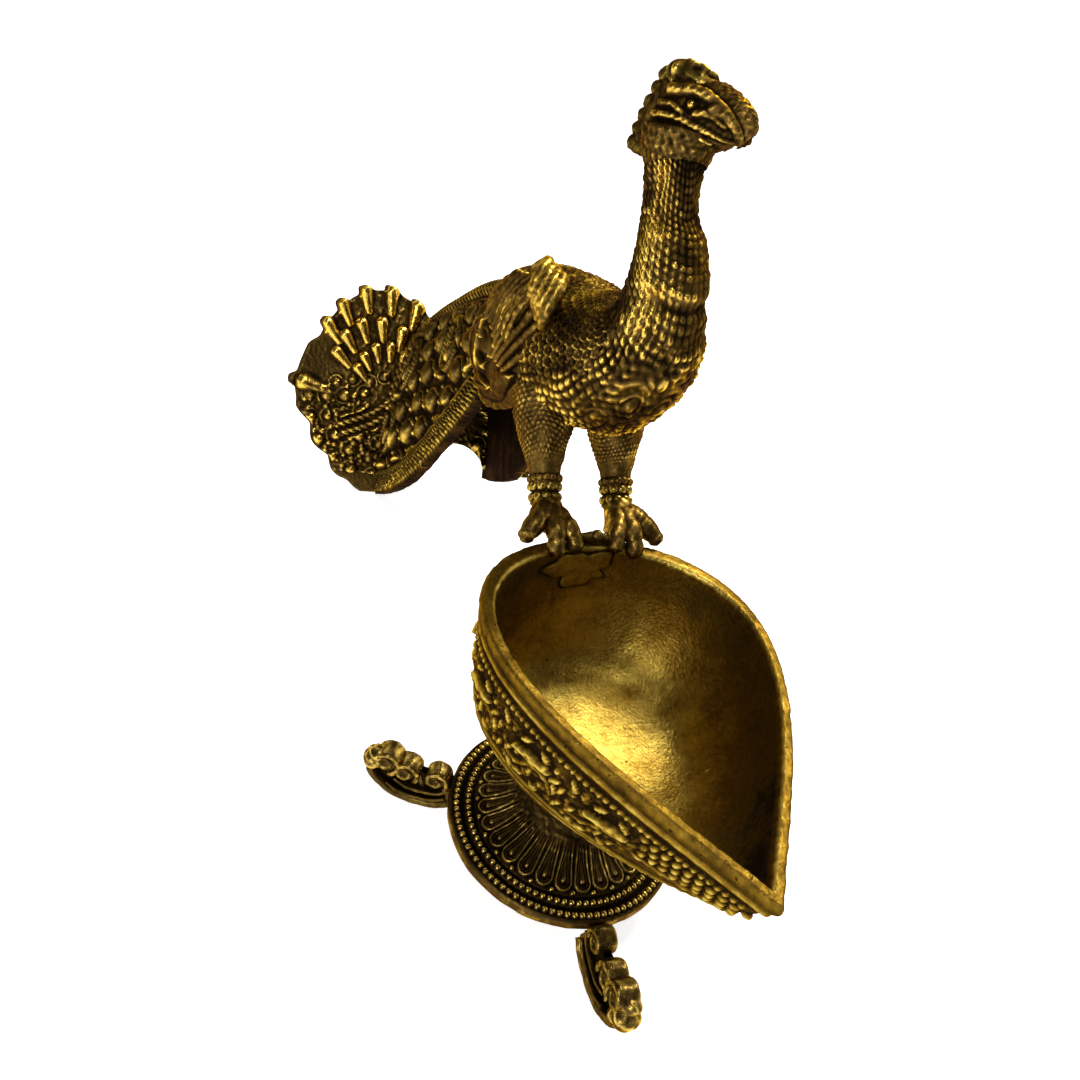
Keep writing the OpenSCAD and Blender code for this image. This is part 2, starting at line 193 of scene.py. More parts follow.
class Piece:
    """One visible piece, made of grids of points in the lamp's own space."""

    def __init__(self, node):
        self.node, self.verts, self.quads, self.wear, self.count = node, [], [], [], 0

    def add(self, P, h=0.0, wrap_u=False, wrap_v=False, out=None, gain=1.6, bias=0.5, reach=5, sink=0.0):
        """Adds a grid, raised by h along its outward side. The value it stores for the material runs from 0, dark in
        the recesses, to 1, rubbed bright on what stands proud; some pieces add painted highlight and painted shade to
        it later."""
        h = np.zeros(P.shape[:2]) + h
        n = normals(P, wrap_u, wrap_v)
        if out is None:
            flux = np.sum((P - P.reshape(-1, 3).mean(0)) * n)
        else:
            flux = np.sum(n * out)
        side = 1 if flux > 0 else -1
        Q = P + n * (side * (h - sink))[..., None]
        proud = h - blur(h, reach, wrap_u, wrap_v) + 0.35 * (h - blur(h, reach * 4, wrap_u, wrap_v))
        wear = np.clip(bias + gain * proud, 0, 1)
        U, V = P.shape[:2]
        index = np.arange(U * V).reshape(U, V) + self.count
        i = np.arange(U if wrap_u else U - 1)
        j = np.arange(V if wrap_v else V - 1)
        a = index[i][:, j]
        b = index[(i + 1) % U][:, j]
        c = index[(i + 1) % U][:, (j + 1) % V]
        d = index[i][:, (j + 1) % V]
        quads = np.stack([a, b, c, d] if side > 0 else [d, c, b, a], -1).reshape(-1, 4)
        self.verts.append(Q.reshape(-1, 3))
        self.wear.append(wear.reshape(-1))
        self.quads.append(quads)
        self.count += U * V
        return Q

    def lumpy(self, G, height, size, seed, bias, gain=1.6, reach=5, across=False):
        """Adds a tube, or with across a ball, that has a lumpy skin."""
        self.add(G, height * lumps(G, size, seed), across, not across, None, gain, bias, reach)

    def add_wear_and_light(self, change):
        """Adds a change to the material value of the grid that was added last: rubbed wear, and on some pieces
        painted highlight and painted shade.
        """
        self.wear[-1] = np.clip(self.wear[-1] + np.reshape(change, -1), 0, 1)

    def build(self, material):
        co = np.concatenate(self.verts) + [AXIS_X, 0, 0]
        co[:, 2] = np.maximum(co[:, 2], 0)      # flat where it stands
        quads = np.concatenate(self.quads)
        mesh = bpy.data.meshes.new(self.node + "_cast")
        mesh.vertices.add(len(co))
        mesh.vertices.foreach_set("co", (co * MM).astype(np.float32).ravel())
        mesh.loops.add(quads.size)
        mesh.loops.foreach_set("vertex_index", quads.astype(np.int32).ravel())
        mesh.polygons.add(len(quads))
        mesh.polygons.foreach_set("loop_start", np.arange(0, quads.size, 4, dtype=np.int32))
        mesh.polygons.foreach_set("use_smooth", np.ones(len(quads), bool))
        mesh.update(calc_edges=True)
        mesh.validate()
        wear = mesh.attributes.new("wear", "FLOAT", "POINT")
        wear.data.foreach_set("value", np.concatenate(self.wear).astype(np.float32))
        mesh.materials.append(material)
        obj = bpy.data.objects.new(self.node + "_cast", mesh)
        bpy.context.scene.collection.objects.link(obj)
        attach(obj, BODY[self.node])
        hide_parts(self.node)


# ---- relief, as heights in mm
def bead(X, Y, cx, cy, r):
    return root(r * r - (X - cx) ** 2 - (Y - cy) ** 2)


def rod(X, Y, a, b, ra, rb):
    dx, dy = b[0] - a[0], b[1] - a[1]
    t = np.clip(((X - a[0]) * dx + (Y - a[1]) * dy) / (dx * dx + dy * dy), 0, 1)
    r = mix(ra, rb, t)
    return root(r * r - (X - a[0] - t * dx) ** 2 - (Y - a[1] - t * dy) ** 2)


def line(X, Y, points, ra, rb=None):
    """Round ridge along a smooth curve through points, tapering from ra to rb."""
    points = curve(points)
    rb = ra if rb is None else rb
    n = len(points) - 1
    h = 0
    for i in range(n):
        h = over(h, rod(X, Y, points[i], points[i + 1], mix(ra, rb, i / n), mix(ra, rb, (i + 1) / n)))
    return h


def turned(X, Y, cx, cy, angle):
    """Places measured from a centre, along and across a direction."""
    c, s = cos(angle), sin(angle)
    return (X - cx) * c + (Y - cy) * s, -(X - cx) * s + (Y - cy) * c


def drop(X, Y, cx, cy, angle, length, width, height, rib=0.0):
    """Leaf-shaped boss, with an optional groove along its middle."""
    p, q = turned(X, Y, cx, cy, angle)
    p, q = p / (length / 2), q / (width / 2)
    edge = np.clip(1 - p * p, 0, None) ** 0.8 * (1 - 0.35 * p)
    h = root(1 - (q / (edge + 1e-6)) ** 2) * (edge > 0.02)
    return height * h * (1 - rib * bell(q / 0.16))


def curl_boss(X, Y, cx, cy, angle, size=1.5):
    """Bright bead under a hooked ridge."""
    x, y = turned(X, Y, cx, cy, angle)
    x, y = x / size, y / size
    dome = root(1 - x * x * 1.15 - y * y * 0.8)
    hook = bell((np.hypot(x, y) - 1.42) / 0.26) * step(y + 0.5 * x, -0.7, 0.0)
    return size * np.maximum(dome * (0.85 + 0.15 * np.cos(5 * y)), 0.55 * hook)


def bead_row(A, B, b0, pitch, r, lag=0.0, lean=0.0):
    """Row of beads along A at B = b0. A lean makes them slanted, as in a rope."""
    q = B - b0
    p = ((((A + lean * q) / pitch + lag) % 1) - 0.5) * pitch
    return root(r * r - p * p - q * q)


def ridge(B, b0, width, height):
    return height * bell((B - b0) / width)


# ---- materials
PIT_LEVEL, PIT_DARK = 0.66, 0.3      # which spots are pits, and how much darker they are
SKIN_DEPTH = 0.00034                # casting grain, in metres


def antique_brass(name, gold, aged, dark, shine, grain, dirt=0.5, lift=0.0, seed=0.0, rough_skin=0.35):
    """Cast brass: dark patina in the recesses and on a cloudy pattern, rubbed gold where the pieces'
    attribute is high, with casting grain and pits. That attribute holds rubbed wear and, on some pieces, painted
    highlight and painted shade."""
    m = bpy.data.materials.new(name)
    m.use_nodes = True
    nodes, links = m.node_tree.nodes, m.node_tree.links
    shader = nodes["Principled BSDF"]

    def node(kind, **inputs):
        n = nodes.new(kind)
        for k, v in inputs.items():
            n.inputs[k.replace("_", " ")].default_value = v
        return n

    def noise(scale, detail=4.0, rough=0.55):
        n = node("ShaderNodeTexNoise", Scale=scale, Detail=detail, Roughness=rough)
        links.new(place.outputs["Vector"], n.inputs["Vector"])
        return n.outputs["Fac"]

    def math_node(kind, a, b=None, c=None):
        n = nodes.new("ShaderNodeMath")
        n.operation = kind
        for i, v in enumerate((a, b, c)):
            if v is None:
                continue
            if isinstance(v, (int, float)):
                n.inputs[i].default_value = v
            else:
                links.new(v, n.inputs[i])
        return n.outputs[0]

    def sway(value, amount, base):
        """base + amount * (value - 0.5)"""
        return math_node("MULTIPLY_ADD", math_node("SUBTRACT", value, 0.5), amount, base)

    def ramp(value, stops):
        n = nodes.new("ShaderNodeValToRGB")
        links.new(value, n.inputs[0])
        while len(n.color_ramp.elements) < len(stops):
            n.color_ramp.elements.new(0.5)
        for e, (at, colour) in zip(n.color_ramp.elements, stops):
            e.position = at
            e.color = colour if len(colour) == 4 else (*colour, 1)
        return n.outputs[0]

    coords = nodes.new("ShaderNodeTexCoord")
    place = node("ShaderNodeMapping")
    place.inputs["Location"].default_value = (seed, seed * 0.7, seed * 1.3)
    links.new(coords.outputs["Object"], place.inputs["Vector"])
    wear = nodes.new("ShaderNodeAttribute")
    wear.attribute_name = "wear"
    clouds, spots, fine = noise(170.0, 5.0), noise(900.0, 5.0, 0.62), noise(grain, 3.0)
    shade = sway(clouds, 1.1 * dirt, wear.outputs["Fac"])
    shade = sway(spots, 0.9 * dirt, shade)
    shade = math_node("ADD", shade, lift)
    pit = math_node("GREATER_THAN", spots, PIT_LEVEL)
    level = math_node("MULTIPLY_ADD", pit, -PIT_DARK, shade)
    level = math_node("MINIMUM", math_node("MAXIMUM", level, 0.0), 1.0)
    tone = sway(fine, 0.25, level)
    links.new(ramp(tone, [(0.08, dark), (0.36, tuple(mix(np.array(dark), np.array(aged), 0.45))), (0.56, aged),
            (0.86, gold)]), shader.inputs["Base Color"])
    links.new(ramp(level, [(0.1, (0.86,) * 3), (0.4, (0.95,) * 3), (0.7, (1,) * 3)]), shader.inputs["Metallic"])
    shader.inputs["Specular IOR Level"].default_value = 0.12
    shader.inputs["Specular Tint"].default_value = (0.52, 0.38, 0.2, 1)
    rough = ramp(level, [(0.1, (0.76,) * 3), (0.5, (shine + 0.13,) * 3), (0.9, (shine,) * 3)])
    links.new(sway(fine, 0.22, rough), shader.inputs["Roughness"])
    bump = node("ShaderNodeBump", Strength=rough_skin, Distance=SKIN_DEPTH * rough_skin)
    height = math_node("MULTIPLY_ADD", spots, 0.8, fine)
    links.new(math_node("MULTIPLY_ADD", pit, -0.5, height), bump.inputs["Height"])
    links.new(bump.outputs["Normal"], shader.inputs["Normal"])
    return m


GOLD, AGED, DARK = (0.76, 0.48, 0.08), (0.14, 0.080, 0.017), (0.012, 0.0065, 0.0025)
CAST = antique_brass("cast_brass", GOLD, AGED, DARK, 0.27, 3800.0)
TAIL = antique_brass("tail_brass", (0.78, 0.51, 0.085), (0.16, 0.094, 0.02), (0.012, 0.007, 0.003), 0.24, 3400.0,
                     seed=0.3)
RELIEF = antique_brass("relief_brass", (0.78, 0.54, 0.1), (0.15, 0.095, 0.018), DARK, 0.22, 4200.0, seed=0.6)
BASE = antique_brass("base_brass", (0.68, 0.45, 0.09), (0.11, 0.064, 0.016), (0.009, 0.005, 0.002), 0.26, 4200.0,
                     seed=0.9)
FEET = antique_brass("foot_brass", (0.8, 0.53, 0.11), (0.15, 0.092, 0.022), (0.009, 0.006, 0.003), 0.22, 3000.0,
                     seed=1.2)
BOWL = antique_brass("bowl_brass", (0.58, 0.41, 0.075), (0.21, 0.118, 0.013), (0.018, 0.010, 0.003), 0.34, 2100.0,
                     dirt=0.42, seed=1.5, rough_skin=0.6)
STUD = antique_brass("stud_brass", (0.8, 0.6, 0.2), (0.42, 0.29, 0.09), (0.05, 0.03, 0.012), 0.22, 6000.0,
                     dirt=0.25, lift=0.25)


# ---- base plate
def lathe(profile, sides, gap):
    """Grid round the lamp's axis from a list of r, z points, with its rows about gap mm apart."""
    profile = np.array(profile, float)
    rows = [profile[0]]
    for a, b, between in zip(profile, profile[1:], np.broadcast_to(gap, len(profile) - 1)):
        n = max(1, int(round(np.linalg.norm(b - a) / between)))
        rows += [mix(a, b, k / n) for k in range(1, n + 1)]
    rows = np.array(rows)
    t = ring_of(sides)
    T, R, Z = np.broadcast_arrays(t[:, None], rows[:, 0], rows[:, 1])
    return points(np.cos(T) * R, np.sin(T) * R, Z), T, R, Z


def base_plate():
    p = Piece("base_plate")
    top = PLATE_TOP
    P, T, R, Z = lathe([[3.1, 15.2], [3.1, PLATE_GAP + 0.8], [16, PLATE_GAP + 0.8], [16.6, PLATE_GAP],
            [19.5, PLATE_GAP], [19.95, PLATE_GAP + 0.4], [20, top - 0.6], [19.6, top - 0.15], [18.2, top],
            [15.6, top + 0.2], [13.8, top + 0.8], [12, top + 1.7], [10.3, top + 2.9], [9, top + 4.3],
            [8, top + 5.8], [7.4, top + 7.6], [7.1, top + 9.6], [7.3, SEAT_Z - 3.4], [8.2, SEAT_Z - 1.6],
            [8.5, SEAT_Z - 1], [8.5, SEAT_Z - 0.1], [3.1, SEAT_Z - 0.1], [3.1, 16]], PLATE_SIDES,
            [3.0] * 4 + [0.5] * 3 + [0.2] * 8 + [0.25] * 3 + [0.5] * 2 + [3.0] * 2)
    upper = (Z > top - 0.4) & (R < 19.9)
    h = np.zeros(P.shape[:2])
    for r0, count, size in ((18.75, 96, 0.56), (16.75, 88, 0.5)):
        h = over(h, bead_row(T * r0, R, r0, TAU * r0 / count, size))
    petals = 27
    across = (((T / TAU * petals) % 1) - 0.5) * TAU / petals * R
    r_in, r_out = 7.2, 13.7
    t = np.clip((R - r_in) / (r_out - r_in), 0, 1)
    off = np.hypot(across, R - mix(r_in, r_out, t)) - mix(0.5, 1.28, t ** 1.3)
    h = over(h, 0.42 * bell(off / 0.19) * (R < 15.6))
    h = over(h, 0.26 * bell((off + 0.48) / 0.13) * (R < 15.6), 0.9 * rod(R, across, (10.2, 0), (13.5, 0), 0.16, 0.46))
    h *= step(R, 8.2, 10.4)
    h += 0.2 * np.clip(lumps(P, 1.5, 12), 0, 1) * (1 - step(R, 9, 11))
    between = (((T / TAU * petals + 0.5) % 1) - 0.5) * TAU / petals * R
    h = over(h, 0.9 * bead(R, between, 15.2, 0, 0.42))
    h -= ridge(R, 17.75, 0.28, 0.5) + ridge(R, 15.85, 0.16, 0.25)
    h += ridge(R, 19.7, 0.3, 0.14)
    h = h * upper * (Z < SEAT_Z - 3)
    side = (R > 19.4) & (Z < top - 0.2)
    h += 0.05 * lumps(P, 3.0, 3) * side
    h += (0.16 * bell((Z - SEAT_Z + 3.6) / 0.35) + 0.12 * bell((Z - SEAT_Z + 5.4) / 0.3)) * (R < 9)
    h = h * (R > 5)          # the bore for the stud stays smooth
    p.add(P, h, wrap_u=True, bias=0.3, gain=2.0)
    p.add_wear_and_light(0.34 * side)
    p.build(BASE)


# ---- scroll feet
def band(centres, width_dir, half_w, half_t):
    """Flat strip with rounded edges that follows centres; width_dir is its wide direction."""
    centres = np.array(centres, float)
    n = len(centres)
    w = np.array(width_dir, float)
    up = unit(np.cross(unit(np.gradient(centres, axis=0)), w))
    t = ring_of(28)
    half_w = np.broadcast_to(half_w, n)[:, None, None]
    half_t = np.broadcast_to(half_t, n)[:, None, None]
    a = np.sign(np.cos(t)) * np.abs(np.cos(t)) ** 0.35
    b = np.sign(np.sin(t)) * np.abs(np.sin(t)) ** 0.6
    return centres[:, None] + half_w * a[None, :, None] * w + half_t * b[None, :, None] * up[:, None]


def close(P):
    """Adds a shrunken ring at each end, so that a tube looks solid."""
    first, last = P[0], P[-1]
    return np.concatenate([[mix(first, first.mean(0), 0.98)], [mix(first, first.mean(0), 0.4)], P,
            [mix(last, last.mean(0), 0.4)], [mix(last, last.mean(0), 0.98)]])


def scroll_foot(node, angle):
    p = Piece(node)
    c, s = cos(angle), sin(angle)
    along, across, up = np.array([c, s, 0]), np.array([-s, c, 0]), np.array([0, 0, 1.0])

    def at(r, z, y=0.0):
        return r * along + z * up + y * across

    def ribbon(path, half_w, ra, rb, offset=0.0):
        rows = curve(path, 8)
        centre = np.array([at(q[0], q[1], offset) for q in rows])
        k = share(len(rows))
        P = close(band(centre, across, half_w * (1 - 0.12 * k), mix(ra, rb, k)))
        p.lumpy(P, 0.05, 1.6, 5, 0.5, 2.2, 3)

    ribbon([(19.6, 2.6), (21.5, 1.35), (24, 0.75), (27, 0.62), (30, 1.3), (32, 2.6), (33.5, 3.9), (34.2, 5.0)],
           2.35, 0.8, 0.7)
    for side in (-1, 1):
        ribbon([(20.4, 3.6), (22.5, 2.3), (25.5, 1.7), (28.5, 1.9), (30.8, 3.2)], 0.3, 0.32, 0.28, side * 1.9)
        ribbon([(20.2, 5.6), (21.6, 4.0), (24.4, 3.2), (27.4, 3.2), (29.6, 4.4)], 0.35, 0.3, 0.25, side * 1.5)

    def curl(r0, z0, radius, turn, half_w):
        """A strip rolled into a spiral, with its free end inside."""
        k = share(64)
        a = np.radians(turn) - k * TAU * 1.35
        size = radius * (1 - 0.68 * k) - 0.42
        centre = np.array([at(r0 + q * math.cos(b), z0 + q * math.sin(b)) for q, b in zip(size, a)])
        P = close(band(centre, across, half_w * (1 - 0.1 * k), 0.5 - 0.14 * k))
        p.lumpy(P, 0.06, 1.4, 8, 0.6, 2.4, 3)
        for side in (-1, 1):
            t = ring_of(40)
            q = share(22)
            dome = root(1 - q * q)
            x = np.cos(t)[:, None] * q * radius * 0.62
            z = np.sin(t)[:, None] * q * radius * 0.62
            y = side * (half_w - 0.75 + 0.55 * dome[None, :] + 0 * x)
            P = r0 * along + z0 * up + x[..., None] * along + z[..., None] * up + y[..., None] * across
            spiral = 0.32 * np.cos(TAU * 1.6 * q[None, :] + t[:, None]) * q * (1 - q ** 4)
            p.add(P, spiral, wrap_u=True, out=side * across, bias=0.3, gain=1.8, reach=3)

    curl(22.7, 6.5, 2.65, 215, 1.8)
    curl(28.1, 6.3, 2.75, 215, 1.9)
    curl(31.7, 7.4, 3.0, 250, 2.0)
    for r0, z0, y0, size, squash in ((34.0, 6.2, 0.0, 1.95, (1, 1.15, 0.95)),
            (33.4, 8.2, 0.5, 1.35, (1.1, 1.2, 0.8)), (33.2, 5.2, -1.1, 1.25, (1.1, 1, 1))):
        local = ball((0, 0, 0), size, squash, 40)
        P = at(r0, z0, y0) + local[..., :1] * along + local[..., 1:2] * across + local[..., 2:] * up
        p.lumpy(P, 0.14, 1.8, 9, 0.62, 2.2, 3, across=True)
    ribbon([(19.7, 2.8), (20.3, 4.6), (20.6, 6.6), (21.6, 8.4)], 1.7, 0.55, 0.5)
    ribbon([(24.6, 3.4), (25.4, 5.2), (26, 7.2)], 0.9, 0.5, 0.4)
    spans = (20, 3, 7), (22, 1.8, 7.5), (25, 1.2, 7), (28, 1.2, 7.5), (31, 2.2, 7.8), (33, 3.6, 7.4)
    web = np.array([[at(r, z, y) for z in np.linspace(lo, hi, 10)] for y in (-0.7, 0.7) for r, lo, hi in spans])
    for half in (web[:6], web[6:]):
        p.add(half, 0, out=half.mean((0, 1)) - web.mean((0, 1)), bias=0.12)
    p.build(FEET)


# ---- threaded stud
def bowl_stud():
    p = Piece("bowl_stud")
    end = SEAT_Z - 7.5
    P, T, R, Z = lathe([[0.05, end], [2.3, end], [2.9, end + 0.6], [2.9, STUD_TOP - 0.4], [2.5, STUD_TOP],
            [0.05, STUD_TOP]], 96, 0.1)
    thread = np.abs((((Z - end) / 1.5 - T / TAU) % 1) - 0.5) * 2
    h = (step(thread, 0.1, 0.9) - 1) * 0.42 * (R > 2.8)
    p.add(P, h, wrap_u=True, bias=0.6)
    p.build(STUD)


# ---- oil bowl
def leaf_grid(spread, grow, t, z):
    """Points of the leaf-shaped bowl: t in degrees from the spout, spread 0 at its foot, 1 at its rim."""
    long = mix(BOSS_R, RIM_L, spread) + grow
    full = mix(BOSS_R, RIM_FULL, spread) + grow
    x = RIM_X * spread + long * cos(t)
    y = full * sin(t) * (np.abs(sin(t / 2)) ** (SPOUT * spread) + BLUNT) / (1 + BLUNT)
    return points(x, y, z)


def wall_spread(w, t):
    """How far the wall spreads at a share w of its depth, fuller towards the spout."""
    return np.clip(1 - w ** (1 / 0.6), 0, 1) ** (1 / (2.9 - 1.5 * cos(t)))


def wall_rows(t, floor_z, grow, count):
    """Grid of the wall from its floor up to the rim."""
    w = np.sin(np.linspace(1, 0, count) * math.pi / 2)[None, :]
    return leaf_grid(wall_spread(w, t), grow, t, RIM_Z - (RIM_Z - floor_z) * w)


def oil_bowl():
    p = Piece("oil_bowl")
    t = (np.arange(BOWL_SIDES) / BOWL_SIDES * 360)[:, None]
    ring = lambda spread, grow, z: leaf_grid(np.full_like(t, spread), grow, t, np.full_like(t, z))
    foot = [ring(0, g, z) for g, z in ((-8.45, 25), (-5.5, 25), (-5.5, BOSS_Z), (-2.5, BOSS_Z), (0, BOSS_Z),
            (0, BOSS_Z + 0.6))]
    wall = wall_rows(t, UNDER_Z, 0, 137)[:, :-5]
    lip = [ring(1, g, RIM_Z + z) for g, z in ((0.05, -2.5), (0.35, -2.1), (0.75, -1.75), (0.95, -1.3), (1.0, -0.8),
            (0.9, -0.35), (0.6, -0.05), (0.15, 0.03), (-0.4, -0.02), (-1.0, 0.02), (-1.45, -0.08), (-1.75, -0.4),
            (-1.8, -1.0))]
    inner = wall_rows(t, FLOOR_Z, -WALL, 32)[:, ::-1][:, 2:]
    closing = [ring(0, -WALL - 3, FLOOR_Z), ring(0, -8.4, FLOOR_Z)]
    outer_P = np.concatenate(foot + [wall], 1)
    B = run(wall[:, ::-1], 1)[:, ::-1] + 2.3             # distance below the rim's edge
    rim_run = run(ring(1, 0, RIM_Z), 0)[:, 0]
    side = np.minimum(rim_run, rim_run[-1] - rim_run)    # from the spout's tip, the same on both sides
    A = side[:, None] + 0 * B
    h = ridge(B, 4.0, 0.8, 0.6) - ridge(B, 2.8, 0.35, 0.5) - ridge(B, 5.4, 0.4, 0.35)
    h = over(h, 1.0 * bead_row(A, B, 6.4, 1.15, 0.5) * (A > 1))
    tip = 1 - step(A, 13, 18)
    for b0, lag in ((7.9, 0.5), (9.6, 0.0), (11.3, 0.5)):
        h = over(h, tip * 0.95 * bead_row(A, B, b0, 1.7, 0.68, lag))
    h = over(h, tip * ridge(B, 13.0, 0.4, 0.5))
    length = side.max()
    panel = 0.0 * A
    count = 5
    pitch = (length - 13) / count
    for k in range(count):
        a0 = 13 + pitch * (k + 0.5)
        panel = over(panel, drop(A, B, a0, 10.6, 8, 7.6, 1.9, 1.15),
                0.95 * line(A, B, [(a0 - 5.4, 14.8), (a0 - 3.4, 12.6), (a0 - 0.4, 12.6), (a0 + 2.0, 14.8),
                (a0 + 4.6, 15.2), (a0 + 6.2, 12.8)], 0.42))
        for da, b0, turn, size in ((-4.4, 9.0, 20, 0.85), (4.6, 9.2, 150, 0.85), (-3.2, 14.9, 70, 0.95),
                (0.4, 15.2, 110, 0.85), (3.0, 13.0, 200, 0.8), (6.0, 10.6, 250, 0.7), (-1.8, 13.6, 300, 0.6),
                (5.2, 16.4, 30, 0.75), (-5.8, 16.2, 30, 0.75)):
            panel = over(panel, 0.8 * curl_boss(A, B, a0 + da, b0, turn, 0.78 * size))
        for da, b0, turn in ((2.0, 8.6, 30), (-1.9, 8.5, -30), (-6.6, 11.8, 80), (-5.6, 13.0, 120),
                (1.6, 16.6, 10), (-2.4, 16.4, -20), (5.0, 14.0, 60), (6.6, 8.6, -50), (-4.8, 11.0, 40),
                (3.6, 16.8, 140), (-0.6, 14.2, 90), (7.2, 15.4, 70)):
            panel = over(panel, drop(A, B, a0 + da, b0, turn, 2.4, 1.0, 0.7, 0.3))
    h = over(h, panel * (1 - tip))
    h += 0.12 * lumps(points(A, B, 0), 0.9, 21) * step(B, 7.2, 8) * (1 - step(B, 16.8, 17.8))
    for b0 in (18.0, 19.4):
        h = over(h, ridge(B, b0, 0.34, 0.5))
    h = over(h, 0.5 * bead_row(A, B, 18.7, 0.9, 0.3, 0.0, 0.8))
    h += 0.03 * lumps(wall, 2.0, 4)
    h *= step(B, 2.4, 2.9)
    knob_a = length * 0.83
    h = over(h, (t > 180) * drop(A, B, knob_a, 8.4, 84, 4.6, 2.4, 1.3))
    H = np.concatenate([np.zeros((len(t), len(foot))), h], 1)
    full = np.concatenate([outer_P] + lip + [inner] + closing, 1)
    lip_P = np.concatenate(lip, 1)
    lip_h = 0.05 * lumps(lip_P, 1.3, 31) + 0.05 * lumps(lip_P, 4.0, 32)
    inner_h = 0.05 * lumps(inner, 5.0, 33) + 0.022 * lumps(inner, 1.1, 34)
    H = np.concatenate([H, lip_h, inner_h, np.zeros((len(t), len(closing)))], 1)
    p.add(full, H, wrap_u=True, bias=0.33, gain=1.4)
    wear = p.wear[-1].reshape(full.shape[:2])
    a, b = outer_P.shape[1], outer_P.shape[1] + len(lip)
    wear[:, :a] -= 0.06
    row = np.arange(len(lip))
    wear[:, a:b] = 0.46 + 1.1 * lip_h + 0.42 * bell((row - 10.6) / 0.9) - 0.22 * bell((row - 2.0) / 1.2)
    x, y, z = np.moveaxis(full[:, b:], -1, 0)
    # painted light inside the bowl: a painted highlight low on the back of the inner wall, and painted shade towards
    # the spout and up the inner wall, with a little random tone.
    inside = 0.68 - 0.3 * step(x, 6, 34) - 0.3 * step(z, 31, 46)
    inside += 0.2 * step(-x, 10, 18) * step(z, 28, 36) * bell((y - 3) / 9)
    wear[:, b:] = inside + 0.05 * lumps(full[:, b:], 6.0, 36)
    p.wear[-1] = np.clip(wear, 0, 1).reshape(-1)
    p.build(BOWL)


# ---- tubes and lofts
def tube(path, radius, sides=24, taper=True):
    path = np.array(path, float)
    d = unit(np.gradient(path, axis=0))
    ref = np.array([0.1, 1, 0.03]) if abs(d[:, 1]).mean() < 0.8 else np.array([1, 0.1, 0.03])
    a = unit(np.cross(d, ref))
    b = np.cross(d, a)
    t = ring_of(sides)
    r = np.broadcast_to(radius, len(path))[:, None, None]
    P = path[:, None] + r * (np.cos(t)[None, :, None] * a[:, None] + np.sin(t)[None, :, None] * b[:, None])
    return close(P) if taper else P


def loft(rows, steps, sides):
    """Grid of ellipses square to a path of x, y, z, half width, half height rows."""
    rows = curve(rows, steps)
    dx, dz = np.gradient(rows[:, 0]), np.gradient(rows[:, 2])
    slope = np.arctan2(dz, dx)
    t = ring_of(sides)[None, :]
    row = rows[:, :, None]
    P = points(row[:, 0] - row[:, 4] * np.sin(t) * np.sin(slope)[:, None], row[:, 1] + row[:, 3] * np.cos(t),
            row[:, 2] + row[:, 4] * np.sin(t) * np.cos(slope)[:, None])
    return P, rows, t + 0 * row[:, 0]


def ball(centre, r, squash=(1, 1, 1), sides=28):
    t = ring_of(sides)[:, None]
    q = np.linspace(0.02, math.pi - 0.02, sides // 2)[None, :]
    x, y, z = squash
    return np.array(centre, float) + r * points(np.cos(t) * np.sin(q) * x, np.sin(t) * np.sin(q) * y, np.cos(q) * z)


